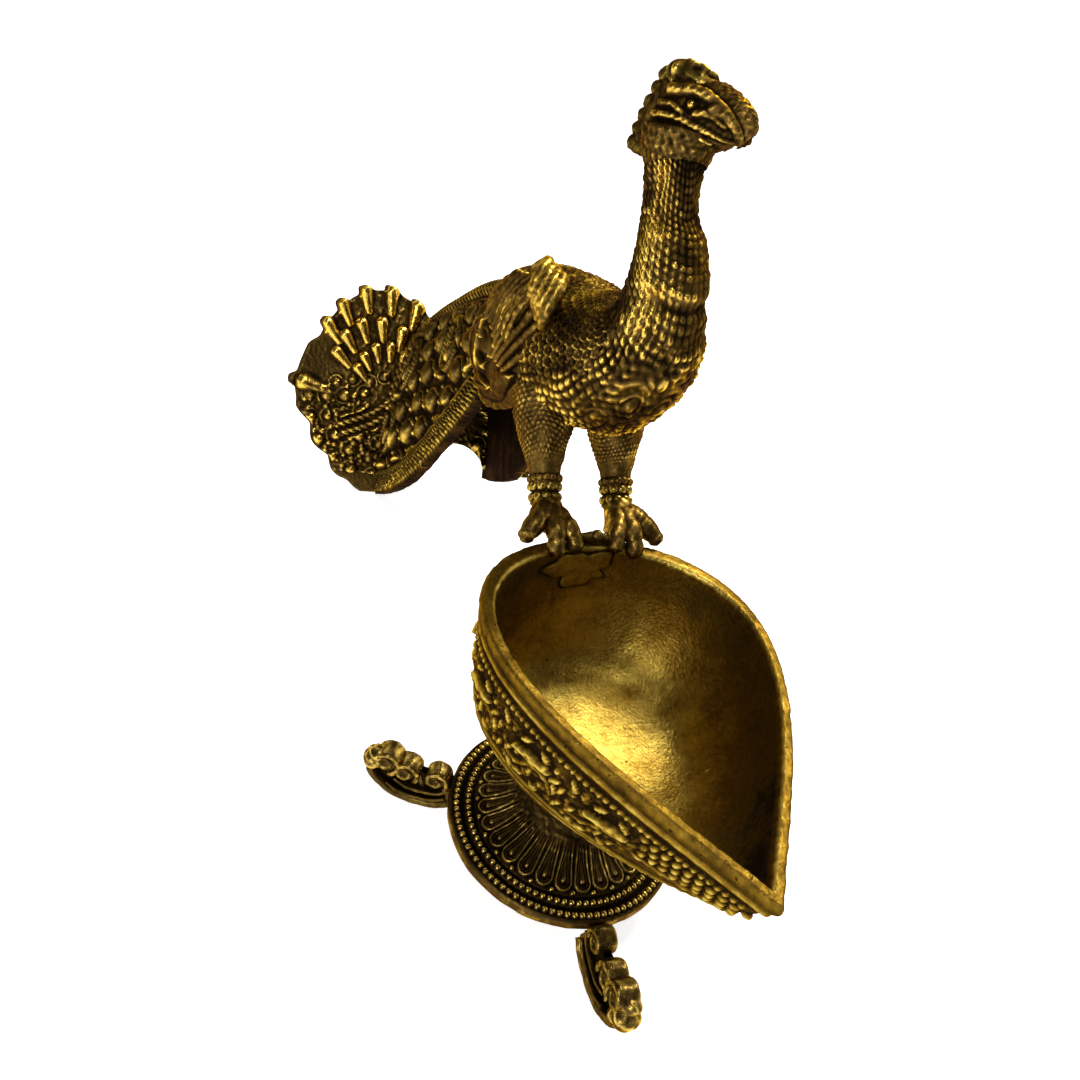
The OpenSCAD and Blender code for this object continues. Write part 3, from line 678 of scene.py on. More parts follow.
# ---- the bird
def peacock_body():
    p = Piece("peacock_body")
    P, rows, T = loft(TRUNK, TRUNK_STEPS, TRUNK_SIDES)
    s = run(rows[:, :3][:, None], 0)[:, 0]
    girth = TAU * (rows[:, 3] + rows[:, 4]) / 2
    X, Z = P[..., 0], P[..., 2]
    front, degrees, along = -np.sin(T), T / TAU * 360, s[:, None] + 0 * X

    def cells(columns, fine, coarse, along):
        """Row number and column number in a lattice of cells round the trunk."""
        pitch = np.clip(girth / columns, fine, coarse)[:, None]
        k = np.cumsum(np.gradient(along, axis=0) / pitch, 0)
        return k, T / TAU * columns

    # rows of small beads on the neck
    bend = mix(along, run(P, 0), 0.6)
    row_at, col = cells(34, 1.1, 1.35, bend)
    u, v = (row_at % 1) - 0.5, (col % 1) - 0.5
    middle = bell((degrees - 222) / 42)
    table = np.random.default_rng(39).uniform(0.3, 1.15, (400, 34))
    jitter = table[np.floor(row_at).astype(int) % 400, np.floor(col).astype(int) % 34] * (0.5 + 0.6 * middle)
    dots = root(0.22 - u * u * 0.9 - v * v * 1.3) * 1.1 * jitter
    # overlapping crescents on the sides, their free ends towards the tail
    row_at, col = cells(38, 1.6, 2.0, along)
    k = np.floor(row_at)
    scales = 0 * X
    for back in (0, 1):
        u = (row_at - k) + back
        v = ((col + 0.5 * ((k - back) % 2)) % 1) - 0.5
        q = np.sqrt((1.25 - u) ** 2 * 0.6 + v * v * 1.9)
        scales = over(scales, (q < 0.84) * (0.25 + 0.75 * (q / 0.84) ** 3) * (0.62 + 0.16 * (1 - back)))
    # square knobs low on the breast
    row_at, col = cells(40, 1.35, 1.6, bend)
    u, v = (row_at % 1) - 0.5, ((col + 0.3 * np.sin(0.9 * row_at)) % 1) - 0.5
    knobs = 0.95 * ((1 - (2 * np.abs(u)) ** 2.4) * (1 - (2 * np.abs(v)) ** 2.4)) ** 0.7
    knobs = knobs * (0.8 + 0.35 * lumps(P, 3, 37))
    neck = step(Z, 84.5, 88)
    low_part = step(front + 0.2 * lumps(P, 9, 36), 0.05, 0.5) * step(X, -48, -40)
    h = mix(mix(0.85 * scales, 0.95 * knobs, low_part), dots, neck)
    nape = step(np.sin(T), 0.35, 0.8) * neck
    h = mix(h, 0.1 * np.cos(T * 30) + 0.1, 0.8 * nape)
    # straps and curls on the middle of the breast
    mid = step(front, 0.55, 0.8) * step(Z, 69, 72) * (1 - step(Z, 82, 86)) * step(X, -36, -31)
    C, D = (degrees - 270) / 360 * TAU * 9.5, along
    d0 = float(s[np.argmin(np.hypot(rows[:, 0] + 30.5, rows[:, 2] - 79))])
    curls = 0.25 + 0.25 * lumps(P, 1.6, 38)
    for sign in (-1, 1):
        curls = over(curls, curl_boss(sign * C, D, 2.6, d0 + 2.4, 30, 1.1),
                curl_boss(sign * C, D, 4.8, d0 - 1.4, -40, 1.0), line(sign * C, D,
                [(0.4, d0 - 5), (2.6, d0 - 3.2), (2.2, d0 - 0.6), (0.5, d0 + 1.2)], 0.6, 0.4),
                line(sign * C, D, [(5.6, d0 + 4), (3.6, d0 + 5), (1.4, d0 + 4.4)], 0.6, 0.4))
    curls = over(curls, bead(C, D, 0, d0 + 5.6, 0.9))
    h = mix(h, 0.8 * curls, mid)
    # a step in front, half way up the neck
    h += 0.8 * step(Z, 91.5, 93) * (1 - step(Z, 98.5, 101.5)) * step(front, 0.0, 0.7)
    h -= 0.5 * step(Z, 98.5, 101.5) * step(front, 0.0, 0.7)
    h -= 0.35 * bell((Z - 91.2) / 0.8) * step(front, 0.2, 0.8)
    h += 0.07 * lumps(P, 1.2, 40) + 0.16 * lumps(P, 7, 41)
    p.add(P, h * step(s, 0, 2)[:, None], wrap_v=True, bias=0.25, gain=1.5, sink=0.32 + 0.2 * neck)
    # painted highlight: the band of the neck that faces the light (lit) is made brighter. The rest is darker on the
    # nape and just below the head, brighter on the low front of the breast, with random cloudy tone.
    lit = bell((degrees - 215) / 26)
    p.add_wear_and_light(neck * (0.42 * lit - 0.04) - 0.1 * nape - 0.12 * step(Z, 103, 107) + 0.13 * low_part
          + 0.16 * lumps(P, 5.0, 35))
    p.build(CAST)


def head_place(P):
    c, s = cos(HEAD_TURN), sin(HEAD_TURN)
    return points(P[..., 0] * c - P[..., 1] * s, P[..., 0] * s + P[..., 1] * c, P[..., 2]) + HEAD_AT


def peacock_head():
    p = Piece("peacock_head")
    P = loft(SKULL, 40, 160)[0]
    X, Z, Y = P[..., 0], P[..., 2], P[..., 1]
    h = 0 * X
    for pts, r in (([(-2.4, 4.6), (0.4, 5.6), (3.2, 5.6), (6.0, 4.8), (8.0, 3.6)], 0.8),
            ([(-3.8, 2.6), (-1.6, 3.2), (0.6, 2.6)], 0.5), ([(-4.0, 1.0), (-0.5, 1.7), (3.2, 1.6), (6.6, 1.0),
            (9.0, 0.9)], 0.6), ([(-3.6, -0.6), (-0.6, 0.2), (2.4, 0.6), (5.4, -0.2)], 0.55),
            ([(-3.0, -2.0), (-0.4, -1.2), (2.0, -1.0)], 0.5), ([(2.6, 3.2), (4.8, 3.6), (6.8, 2.8)], 0.6),
            ([(4.8, 4.4), (6.6, 4.2), (8.4, 3.0), (9.0, 1.8)], 0.9)):
        h = over(h, 1.15 * line(X, Z, pts, r, 0.7 * r))
    h = over(h, 0.9 * bead(X, Z, 1.4, 4.0, 0.62))
    h -= 0.45 * bell((np.hypot(X - 1.4, Z - 4.0) - 1.0) / 0.3)
    h -= 0.9 * bell((X - 4.4) / 1.8, (Z + 0.7) / 0.6)
    h -= 0.35 * bell((X - 7.2) / 0.7, (Z - 2.4) / 0.4)
    h -= 0.4 * bell((Z - 1.0 + 0.04 * X) / 0.25) * step(X, 2, 5)
    h *= step(np.abs(Y), 0.3, 1.2)
    h += 0.16 * lumps(P, 2.6, 50) + 0.08 * lumps(P, 0.9, 51)
    ends = ((2, 2), (0, 0))          # the rings that close() adds have no relief
    p.add(close(head_place(P)), np.pad(h, ends), wrap_v=True, bias=0.32, gain=1.8, sink=0.4)
    # painted highlight on the tip of the bill
    p.add_wear_and_light(0.24 * np.pad(step(X, 6.0, 8.4) * step(Z, 1.2, 3.0), ends))
    path = curve([(-36.3, 0, 105.5), (-37.0, 0, 106.8), (-37.6, 0, 108.2), (-38.0, 0, 110.0)], 10)
    k = share(len(path))
    collar = tube(path, 4.3 + 1.1 * np.sin(math.pi / 2 * k), 130, False)
    p.add(collar, 0.12 * lumps(collar, 1.3, 53) + 0.07 * lumps(collar, 0.7, 54), wrap_v=True, bias=0.34)
    k = share(40)
    path = points(-3.6 - 1.7 * np.sin(math.pi / 2 * k), 0, 5.0 - 8.4 * k)
    nape = head_place(tube(path, 1.5 + 0.3 * np.sin(math.pi * k), 40))
    p.lumpy(nape, 0.12, 1.4, 52, 0.3)
    p.build(CAST)


def head_comb():
    p = Piece("head_comb")
    for x, z, r, sq in ((-3.9, 5.6, 1.6, (0.9, 0.8, 1.1)), (-2.9, 6.5, 1.9, (1.15, 0.85, 0.85)),
            (-1.0, 6.9, 1.95, (1.3, 0.85, 0.8)), (1.1, 6.4, 1.7, (1.2, 0.8, 0.8)),
            (2.9, 5.9, 1.1, (1.3, 0.7, 0.7))):
        B = head_place(ball((x, 0, z), r, sq, 44))
        p.lumpy(B, 0.26, 1.5, 55, 0.42, 1.6, across=True)
    p.build(RELIEF)


def nape_crest():
    p = Piece("nape_crest")
    for i in range(6):
        x, z = -5.1 - 1.6 * sin(18 * i), 5.6 - 1.9 * i
        B = head_place(ball((x, 0, z), 1.12, (1, 1.1, 1)))
        p.lumpy(B, 0.08, 1.0, 57, 0.34, across=True)
    k = share(24)
    path = points(-4.4 - 3.2 * k, 0, -3.7 - k)
    B = head_place(tube(path, 1.6 * (1 - 0.85 * k ** 1.5)))
    p.lumpy(B, 0.06, 1.0, 58, 0.45)
    p.build(RELIEF)


def bird_leg(node, side):
    p = Piece(node)
    P, rows, T = loft(LEG + [[-43.5, 0, 69.4, 4.6, 5.2]], 36, 150)
    s = run(rows[:, :3][:, None], 0)[:, 0][:, None]
    arcs = s + 2.2 * np.cos(T - 0.6 * side) ** 2 * step(s, 3, 9)
    u, v = ((arcs / 0.9) % 1) - 0.5, ((T / TAU * 34 + 0.5 * (np.floor(arcs / 0.9) % 2)) % 1) - 0.5
    plumage = 0.2 * np.clip(1 - 3.2 * (u * u + v * v), 0, 1) * step(s, 3, 6)
    h = plumage - 0.14 * np.clip(lumps(P, 0.9, 60), 0, 1) + 0.12 * lumps(P, 3.6, 61)
    h = over(h, 0.8 * bead_row(T / TAU * 15, arcs * 0 + s, 1.6, 1.0, 0.62))
    P = P + [0, side * FOOT_Y, 0]
    p.add(P, h, wrap_v=True, bias=0.42, gain=2.0, reach=3)
    p.build(CAST)


def anklet(node, side):
    p = Piece(node)
    t = ring_of(220)[:, None]
    prof = np.array([[1.6, -2.2], [2.3, -2.2], [2.6, -1.9], [2.35, -1.5], [2.25, -0.9], [2.2, 0], [2.3, 0.9],
            [2.4, 1.6], [2.2, 2.1], [1.6, 2.1]])
    k = np.linspace(0, len(prof) - 1, 70)
    r = np.interp(k, np.arange(len(prof)), prof[:, 0])[None]
    z = np.interp(k, np.arange(len(prof)), prof[:, 1])[None]
    h = np.maximum(bead_row(t * 2.5, z, -0.75, TAU * 2.5 / 10, 0.78),
            bead_row(t * 2.5, z, 0.95, TAU * 2.5 / 10, 0.78, 0.5))
    h = h - ridge(z, -2.05, 0.14, 0.3) - ridge(z, 1.75, 0.12, 0.2)
    local = points(r * np.cos(t), r * np.sin(t), z)
    c, s = cos(-LEG_LEAN), sin(-LEG_LEAN)
    P = points(local[..., 0] * c + local[..., 2] * s, local[..., 1], -local[..., 0] * s + local[..., 2] * c)
    P = P + ANKLET_AT + [0, side * FOOT_Y, 0]
    p.add(P, 0.85 * h + 0.03 * lumps(P, 0.8, 62), wrap_u=True, bias=0.5, gain=2.2, reach=4)
    p.build(RELIEF)


def claw_foot(node, side):
    p = Piece(node)
    place = np.array([RIM_BACK, side * FOOT_Y, RIM_Z])

    def toe(path, ra, rb, knuckles, nail=True):
        """A toe along a path measured from the rim's back edge, y positive outwards."""
        rows = curve(path, 16)
        k = share(len(rows))
        r = mix(ra, rb, k) * (1 + 0.17 * np.abs(np.sin(k * math.pi * knuckles)) ** 0.7 - 0.08)
        if nail:
            r = r * (1 - 0.5 * step(k, 0.86, 1))
        p.lumpy(tube(rows * [1, side, 1] + place, r, 26), 0.07, 1.3, 64, 0.52, 2.4, 3)

    toe([(-6.6, 0, 3.0), (-4.6, 0, 2.2), (-3.2, 0, 0.6)], 2.35, 2.5, 1, False)
    toe([(-4.2, -0.6, 2.4), (-1.2, -1.7, 2.6), (1.4, -2.7, 1.6), (2.7, -3.1, -0.2)], 1.9, 1.2, 3)
    toe([(-4.2, 0, 2.6), (-1.0, 0.2, 2.9), (1.8, 0.4, 1.6), (3.3, 0.5, -0.9)], 2.0, 1.25, 3)
    toe([(-4.2, 0.8, 2.6), (-2.0, 2.5, 2.9), (-0.4, 4.2, 1.9), (1.2, 5.8, 0.9)], 2.2, 1.25, 2.5)
    toe([(-4.0, -0.3, 1.6), (-4.6, -0.5, 0.2), (-4.2, -0.6, -1.6)], 2.1, 1.2, 1.5)
    p.build(CAST)


def claw_link():
    p = Piece("claw_link")
    k = np.linspace(-1, 1, 40)
    path = points(RIM_BACK + 0.3, k * (FOOT_Y - 2), RIM_Z + 1.1 - 0.4 * k * k)
    G = tube(path, 0.85 + 0.12 * np.cos(k * 9))
    p.lumpy(G, 0.06, 1, 66, 0.45)
    B = ball((RIM_BACK + 0.6, 0.6, RIM_Z + 1.6), 1.05)
    p.lumpy(B, 0.05, 1, 67, 0.5, across=True)
    p.build(RELIEF)


def braze_pool():
    """Thin frozen puddle that follows the bowl's inner back wall."""
    p = Piece("braze_pool")
    t = ring_of(200)[:, None]
    q = share(40)[None, :]
    reach = 1 + 0.16 * np.sin(3 * t + 0.6) + 0.12 * np.sin(5 * t + 2) + 0.08 * np.sin(9 * t)
    y = 1.6 + 5.2 * q * reach * np.cos(t)
    drop_z = 3.6 * q * reach * np.sin(t) - 3.8
    swing = 180 + np.degrees(np.arcsin(np.clip(y / 24, -1, 1)))
    w = np.clip((-drop_z) / (RIM_Z - FLOOR_Z), 0.01, 1)
    S = leaf_grid(wall_spread(w, swing), -WALL, swing, RIM_Z + drop_z)
    thick = 0.9 * (1 - q ** 8) ** 0.5 + 0.08 * np.cos(4 * t) * q
    P = S + points(thick * 0.95 - 0.12, 0, thick * 0.3)
    p.add(P, 0.05 * lumps(P, 2.2, 68), wrap_u=True, out=np.array([1, 0, 0.3]), bias=0.66, gain=0.3)
    p.add_wear_and_light(-0.66 * step(q + 0 * t, 0.84, 0.95))
    p.build(BOWL)


# ---- wings
def wing(node, side):
    p = Piece(node)
    cx, cz = -52.0, 71.5
    circles = ((-42.4, 80.6, 3.0), (-48, 79.5, 5.2), (-52, 71.5, 8.4), (-65.5, 61, 5.3), (-58, 59, 5.2),
            (-46, 67, 6.0))
    t = ring_of(460)[:, None]
    reach = 0 * t
    for x, z, r in circles:
        for x2, z2, r2 in circles:
            for k in share(9):
                ax, az, ar = mix(x, x2, k) - cx, mix(z, z2, k) - cz, mix(r, r2, k)
                along = ax * np.cos(t) + az * np.sin(t)
                room = ar * ar - (ax * ax + az * az - along * along)
                hit = along + root(room)
                reach = over(reach, np.where(room > 0, hit, 0))
    reach = blur(reach, 6, True, False)
    q = share(130)[None, :]
    X = cx + q * reach * np.cos(t)
    Z = cz + q * reach * np.sin(t)
    P = points(X, side * (14.0 - 4.4 * q ** 4), Z)
    h = 0 * X
    # long thin plumes that sweep down and back from the top
    for k in range(10):
        pts = [(-38.2 - 1.4 * k, 85.2 - 0.45 * k), (-38.9 - 1.6 * k, 79.6 - 0.3 * k),
                (-41.3 - 1.62 * k, 73.6 - 0.1 * k), (-44.6 - 1.45 * k, 67.4 - 0.1 * k)]
        h = over(h, 1.9 * line(X, Z, pts, 0.74, 0.56))
    h = over(h, line(X, Z, [(-55.8, 80.6), (-61.6, 74.6), (-66.2, 68.0), (-67.4, 62.4), (-64.6, 58.4)], 0.8, 0.7))
    angle = np.arctan2(Z - 67.6, X + 53.2)
    ring = np.hypot(X + 53.2, Z - 67.6)
    h = np.where(ring < 4.3, 0.1, h)
    h = over(h, 1.6 * root(1 - (ring / 1.7) ** 2), 1.25 * bell((ring - 3.3 + 0.25 * angle) / 0.62))
    h = np.where(np.hypot((X + 46.6) / 5.4, (Z - 64.2) / 3.6) < 1, h * 0.2, h)
    h = over(h, drop(X, Z, -45.6, 65.0, 44, 8.4, 3.6, 1.25), drop(X, Z, -53.5, 60.4, 18, 7.0, 2.8, 1.2, 0.3),
            line(X, Z, [(-63, 56.2), (-57, 55.2), (-50, 57.8), (-43.6, 63.6), (-40.2, 70), (-38.4, 77)], 0.8, 0.6))
    h -= 2.2 * bell((X + 59.6) / 1.3, (Z - 61.6) / 2.0, 2)
    h -= 1.6 * bell((X + 40.3) / 1.1, (Z - 81.2) / 1.3, 2)
    rim_q = q + 0 * X
    border = step(rim_q, 0.87, 0.92) * (1 - step(rim_q, 0.985, 1)) * step(-X, 52, 58)
    h = mix(h, 0.45 + 0.22 * np.cos(t * 130), border)
    h += 0.05 * lumps(P, 1.1, 70 + side) + 0.14 * lumps(P, 2.6, 72 + side)
    p.add(P, h, wrap_u=True, out=np.array([0, side, 0.0]), bias=0.28, gain=1.5)
    for i in range(4):
        a = 2.3 * i
        pts = [(-36.6 - a, 12.6, 79.4 + 0.4 * i), (-35.5 - a, 13.2, 82.0 + 0.4 * i),
                (-36.8 - a, 12.0, 84.9 + 0.2 * i), (-39.6 - a, 10.4, 86.0 - 0.1 * i),
                (-42.1 - a, 11.5, 84.3 - 0.4 * i), (-43.0 - a, 13.6, 80.6 - 0.5 * i),
                (-44.0 - 0.95 * a, 14.6, 76.4 - 0.5 * i), (-45.6 - 0.9 * a, 14.0, 71.8 - 0.4 * i)]
        path = curve([(x, side * y, z) for x, y, z in pts], 10)
        k = share(len(path))
        G = tube(path, 0.86 + 0.36 * np.sin(math.pi * np.minimum(1, 1.4 * k)) - 0.42 * k, 26)
        p.lumpy(G, 0.09, 1.3, 74 + i, 0.62, 1.8, 3)
    q = q[:, ::-1][:, ::12]
    back = points(cx + q * reach * np.cos(t), side * 9.4, cz + q * reach * np.sin(t))
    p.add(back, 0, wrap_u=True, out=np.array([0, -side, 0.0]), bias=0.2)
    p.build(CAST)


# ---- tail
def arch_grid(rows, swing, inset):
    row = rows[:, :, None]
    tall = row[:, 1] - row[:, 3]
    cut = (swing > 0) * TAIL_LIFT * np.clip(1 - row[:, 3] / 20, 0, None) / tall
    span = np.hypot(row[:, 0] - row[:, 2], tall)
    up = mix(cut, 1 - inset / span, np.clip(cos(swing), 0, 1) ** 0.8)
    return points(mix(row[:, 2], row[:, 0], up), (row[:, 4] - inset) * sin(swing), mix(row[:, 3], row[:, 1], up))


def tail_train():
    p = Piece("tail_train")
    rows = curve(TRAIN, TRAIN_STEPS)
    swing = np.linspace(-90, 90, TRAIN_SIDES)[None, :]
    P = arch_grid(rows, swing, 0.0)
    inner = arch_grid(rows, np.linspace(90, -90, 42)[None, :], TRAIN_WALL)
    c = run(P, 1)
    half = c[:, -1:] / 2
    C = np.abs(c - half)                     # distance from the ridge
    S = run(P, 0)[:, [TRAIN_SIDES // 2]] + 0 * C      # distance from the front end
    left = half - C                          # distance from the lower edge
    rope_c = C[:, [int(np.argmin(np.abs(swing[0] + ROPE_SWING)))]]
    flat = points(S, C, 0)
    h = -0.5 + 0.25 * lumps(flat, 1.5, 80) + 0.25 * lumps(flat, 3.4, 84)
    # pear-shaped bosses, each with a hooked ridge over it
    rng = np.random.default_rng(7)
    for j in range(6):
        for k in range(7):
            s0 = 4.5 + 8.6 * k + 4.3 * (j % 2) + rng.uniform(-0.7, 0.7)
            c0 = 10.6 + 6.1 * j + rng.uniform(-0.6, 0.6)
            size = rng.uniform(1.85, 2.25)
            x, y = turned(S, C, s0, c0, 90 + 25 * rng.uniform(-1, 1))
            x, y = x / size, y / size
            dome = root(1 - (x * 0.8) ** 2 - (y * (1 + 0.22 * x)) ** 2)
            hook = bell((np.hypot(x, y) - 1.45) / 0.2) * step(-x, 0.1, 0.7)
            boss = size * np.maximum(1.05 * dome, 0.4 * hook)
            h = over(h, boss * (1 - step(C + 6.4 - half, 0, 0.6)), 1.2 * bead(S, C, s0 + 4.3, c0 + 0.6, 0.8),
                    1.2 * bead(S, C, s0 + 3.4, c0 - 2.6, 0.62))
    # long loops with a dark hole and a drop inside
    for s0, c0 in ((20.0, 17.0), (46.0, 17.5), (51.0, 32.0)):
        loop = [(s0 + 1.8, c0 - 5.6), (s0 - 1.4, c0 - 5.2), (s0 - 3.1, c0 - 1.6), (s0 - 2.6, c0 + 2.8),
                (s0 + 0.4, c0 + 5.4), (s0 + 3.1, c0 + 3.4), (s0 + 2.8, c0 - 0.4), (s0 + 2.2, c0 - 3.4)]
        inside = bell((S - s0) / 4.2, (C - c0) / 6.6, 4)
        h = mix(h, -0.9, inside)
        h = over(h, 1.6 * line(S, C, loop, 0.95, 0.8) * (0.86 + 0.14 * np.cos(TAU * (S + C) / 1.1)),
                drop(S, C, s0 + 0.2, c0 + 1.8, 80, 4.4, 2.6, 1.6, 0.25))
        h -= 1.2 * bell((S - s0) / 1.2, (C - c0 + 2.6) / 1.5, 2)
    # second strand beside the rope, and the hatched lower band
    strand = bead_row(S, C, rope_c + 2.5, 1.8, 0.98, 0.0, 0.9)
    h = np.where(C < rope_c + 4.0, -0.25, h)
    h = over(h, 1.5 * strand, 0.5 * bell((C - rope_c - 4.3) / 0.3))
    # two more strands across the rear end, next to the fan
    end = S[-1, 0]
    across = (C > rope_c + 1.5) * (C < 27)
    h = np.where(across * (S > end - 6.2), -0.3, h)
    for off in (2.0, 4.6):
        h = over(h, 1.45 * across * bead_row(C, S, end - off, 1.8, 1.05, 0.0, 0.9))
    lower = 1 - step(left, 5.2, 5.7)
    h = mix(h, 0.25 + 0.42 * np.cos(TAU * (S - 1.1 * left) / 1.25) + 0.2 * lumps(flat, 1.6, 85),
            lower * step(left, 0.2, 0.6))
    h = over(h, 0.75 * bell((left - 5.8) / 0.35))
    h = mix(h, 0.3, 1 - step(S, 1.0, 3.0))
    h += 0.04 * lumps(P, 0.9, 81)
    G = np.concatenate([P, inner], 1)
    H = np.concatenate([h, 0.15 * lumps(inner, 6, 82)], 1)
    p.add(G, H, wrap_v=True, bias=0.22, gain=0.95)
    wear = p.wear[-1].reshape(G.shape[:2])
    wear[:, :P.shape[1]] += 0.1 * lower
    # painted shade: the inner wall inside the hollow train is set dark, where shade falls under the arch.
    wear[:, P.shape[1]:] = 0.1
    p.wear[-1] = np.clip(wear, 0, 1).reshape(-1)
    p.build(TAIL)


def fan_radius(a):
    side = np.abs(a)
    return (FAN_R * (1 - FAN_NOTCH * bell(side / 25)) * (1 - 0.12 * (np.clip(side - 60, 0, None) / 80) ** 1.5)
            + 1.8 * bell((side - 89) / 14))


def fan_place(u, v, w):
    return points(FAN_FOOT - v * sin(FAN_LEAN) + w * cos(FAN_LEAN), u, v * cos(FAN_LEAN) + w * sin(FAN_LEAN))


def tail_fan():
    p = Piece("tail_fan")
    a = (np.arange(FAN_SIDES) / FAN_SIDES * 360 - 180)[:, None]
    side = np.abs(a)
    # the rods spread from one point, and their tips make the rim's scallops
    mx, my = 14.0, 21.0
    ends = []
    for ang in (-27, -13, 1, 14, 27, 39, 76):
        dx, dy = sin(ang), cos(ang)
        reach = np.linspace(2, 40, 400)
        px, py = mx + dx * reach, my + dy * reach
        inside = np.hypot(px, py - FAN_MID) < fan_radius(np.degrees(np.arctan2(px, py - FAN_MID)))
        ends.append((ang, dx, dy, reach[inside].max()))
    rim = fan_radius(a) - 1.6 * (1 - step(side, 66, 72))
    for ang, dx, dy, far in ends:
        tip = math.degrees(math.atan2(mx + dx * far, my + dy * far - FAN_MID))
        rim = rim + 1.8 * bell((side - tip) / 2.5, 0, 2)
    waves = np.abs(np.cos(np.radians(side) * 180 / 16.0)) ** 1.5 - 0.6
    rim = rim + 1.5 * waves * step(side, 92, 97) * (1 - step(side, 128, 140))
    # what the table and the arch between the corners cut away
    down = -cos(a)
    v_floor = np.where(a > 0, TAIL_LIFT, 0) / cos(FAN_LEAN)
    hit = np.where(down > 0.05, (FAN_MID - v_floor) / np.maximum(down, 0.05), 99)
    rim = np.minimum(rim, hit)
    r = np.linspace(0, 60, 1200)[None, :]
    u, v = r * sin(a), FAN_MID + r * cos(a)
    open_arch = ((u - FAN_ARCH_Y) ** 2 + (v * cos(FAN_LEAN)) ** 2 < FAN_ARCH ** 2)
    first = np.where(open_arch.any(1), open_arch.argmax(1), 1199)
    rim = np.minimum(rim, r[0][first][:, None])
    q = np.concatenate([np.linspace(0.02, 0.4, 12), np.linspace(0.42, 1, 90)])[None, :]
    U, V = q * rim * sin(a), FAN_MID + q * rim * cos(a)
    w = FAN_DISH * (1 - step(np.hypot(U, V - FAN_MID), 12, 33))
    P = fan_place(U, V, w)
    X, Y = np.abs(U), V
    h = 0.14 + 0.2 * lumps(points(X, Y, 0), 1.8, 90)
    rods = 0 * h
    for row, (out, length, ra, rb) in enumerate(((1.2, 5.0, 1.15, 2.05), (8.2, 4.2, 1.0, 1.75),
            (14.0, 3.2, 0.9, 1.45))):
        for i, (ang, dx, dy, far) in enumerate(ends):
            turn = math.radians(ang + (6 * (row % 2) if i < 6 else 0))
            dx, dy = math.sin(turn), math.cos(turn)
            if far - out - length < 1 or (row and ang > 60):
                continue
            tip = far - out + 0.5 * math.sin(5.0 * i + row)
            rods = over(rods, 1.35 * rod(X, Y, (mx + dx * (tip - length), my + dy * (tip - length)),
                    (mx + dx * tip, my + dy * tip), ra, rb))
    smooth_patch = bell((X - 28.5) / 6.0, (Y - 32.5) / 7.0, 2)
    rods *= 1 - smooth_patch * (X > 30)
    h = np.maximum(mix(h, 0.1, smooth_patch), rods)
    # hooked bosses in arcs on the lower half
    cx0, cy0 = 15.0, 22.0
    for rad, n, top in ((17.6, 8, 4), (13.4, 7, 6), (9.4, 5, 10), (5.4, 4, 30)):
        for i in range(n):
            ang = math.radians(mix(top, -122, i / (n - 1)))
            cx, cy = cx0 + rad * math.cos(ang), cy0 + rad * math.sin(ang)
            size = 1.5 + 0.2 * math.sin(4 * i + rad)
            ring = np.hypot(X - cx, Y - cy) / size
            h = over(h, 0.5 * size * bell((ring - 1.35) / 0.3) * step(X - cx + 0.6 * (Y - cy), -0.4, 1.2),
                    1.2 * size * root(1 - ring ** 2 * (1.1 + 0.25 * np.sin(3 * cx))),
                    1.3 * bead(X, Y, cx - 2.3 * math.sin(ang), cy + 2.3 * math.cos(ang), 0.8))
    for cx, cy, R in ((15.2, 29.0, 1.2), (18.8, 27.2, 1.3), (22.6, 27.8, 1.2), (26.4, 26.6, 1.2),
            (24.6, 23.6, 1.3), (29.2, 24.4, 1.1), (12.0, 26.2, 1.1)):
        h = over(h, curl_boss(X, Y, cx, cy, 40 * cx, R))
    rng = np.random.default_rng(17)
    for _ in range(130):
        ang, rad = rng.uniform(-2.2, 0.35), 19.0 * math.sqrt(rng.uniform(0.02, 1))
        h = over(h, 1.5 * bead(X, Y, cx0 + rad * math.cos(ang), cy0 + rad * math.sin(ang), rng.uniform(0.45, 0.95)))
    # double rope from the ridge across the lobe
    rope = curve([(5.0, 33.0), (8.4, 27.4), (12.6, 22.6), (17.6, 18.8), (23.2, 16.2)], 14)
    d = np.full(U.shape, 99.0)
    at, across = np.zeros(U.shape), np.zeros(U.shape)
    tangent = unit(np.gradient(rope, axis=0))
    for (x0, y0), (tx, ty), run_0 in zip(rope, tangent, run(rope[:, None], 0)[:, 0]):
        e = np.hypot(X - x0, Y - y0)
        near = e < d
        at = np.where(near, run_0 + (X - x0) * tx + (Y - y0) * ty, at)
        across = np.where(near, (X - x0) * ty - (Y - y0) * tx, across)
        d = np.minimum(d, e)
    on = (d < 2.6)
    h = np.where(on, 0.1, h)
    for off in (-1.15, 1.15):
        h = over(h, 1.25 * on * bead_row(at, across, off, 1.6, 0.98, 0.0, 0.8))
    stub = (Y < 5.0) & (U < 0)
    h = np.where(stub, 0.15, h)
    h += 0.05 * lumps(P, 1.0, 91)
    h = h * (1 - step(q + 0 * U, 0.985, 1.0))
    edge = [fan_place(U[:, -1:], V[:, -1:], w[:, -1:] - d0) for d0 in (0.5, 1.3, 2.1)]
    q_back = np.linspace(1, 0.02, 20)[None, :]
    Ub, Vb = q_back * rim * sin(a), FAN_MID + q_back * rim * cos(a)
    back = fan_place(Ub, Vb, FAN_DISH * (1 - step(np.hypot(Ub, Vb - FAN_MID), 12, 33)) - FAN_T)
    hb = 0.2 * lumps(back, 7, 92) + 0.12 * lumps(back, 2.0, 93)
    hb = hb + 0.16 * np.cos(np.radians(a) * 40) * step(q_back, 0.45, 0.9)
    G = np.concatenate([P] + edge + [back], 1)
    H = np.concatenate([h, np.zeros((len(a), 3)), hb * (1 - step(q_back + 0 * a, 0.97, 1))], 1)
    p.add(G, H, wrap_u=True, bias=0.24, gain=0.95)
    brighter = 0 * H
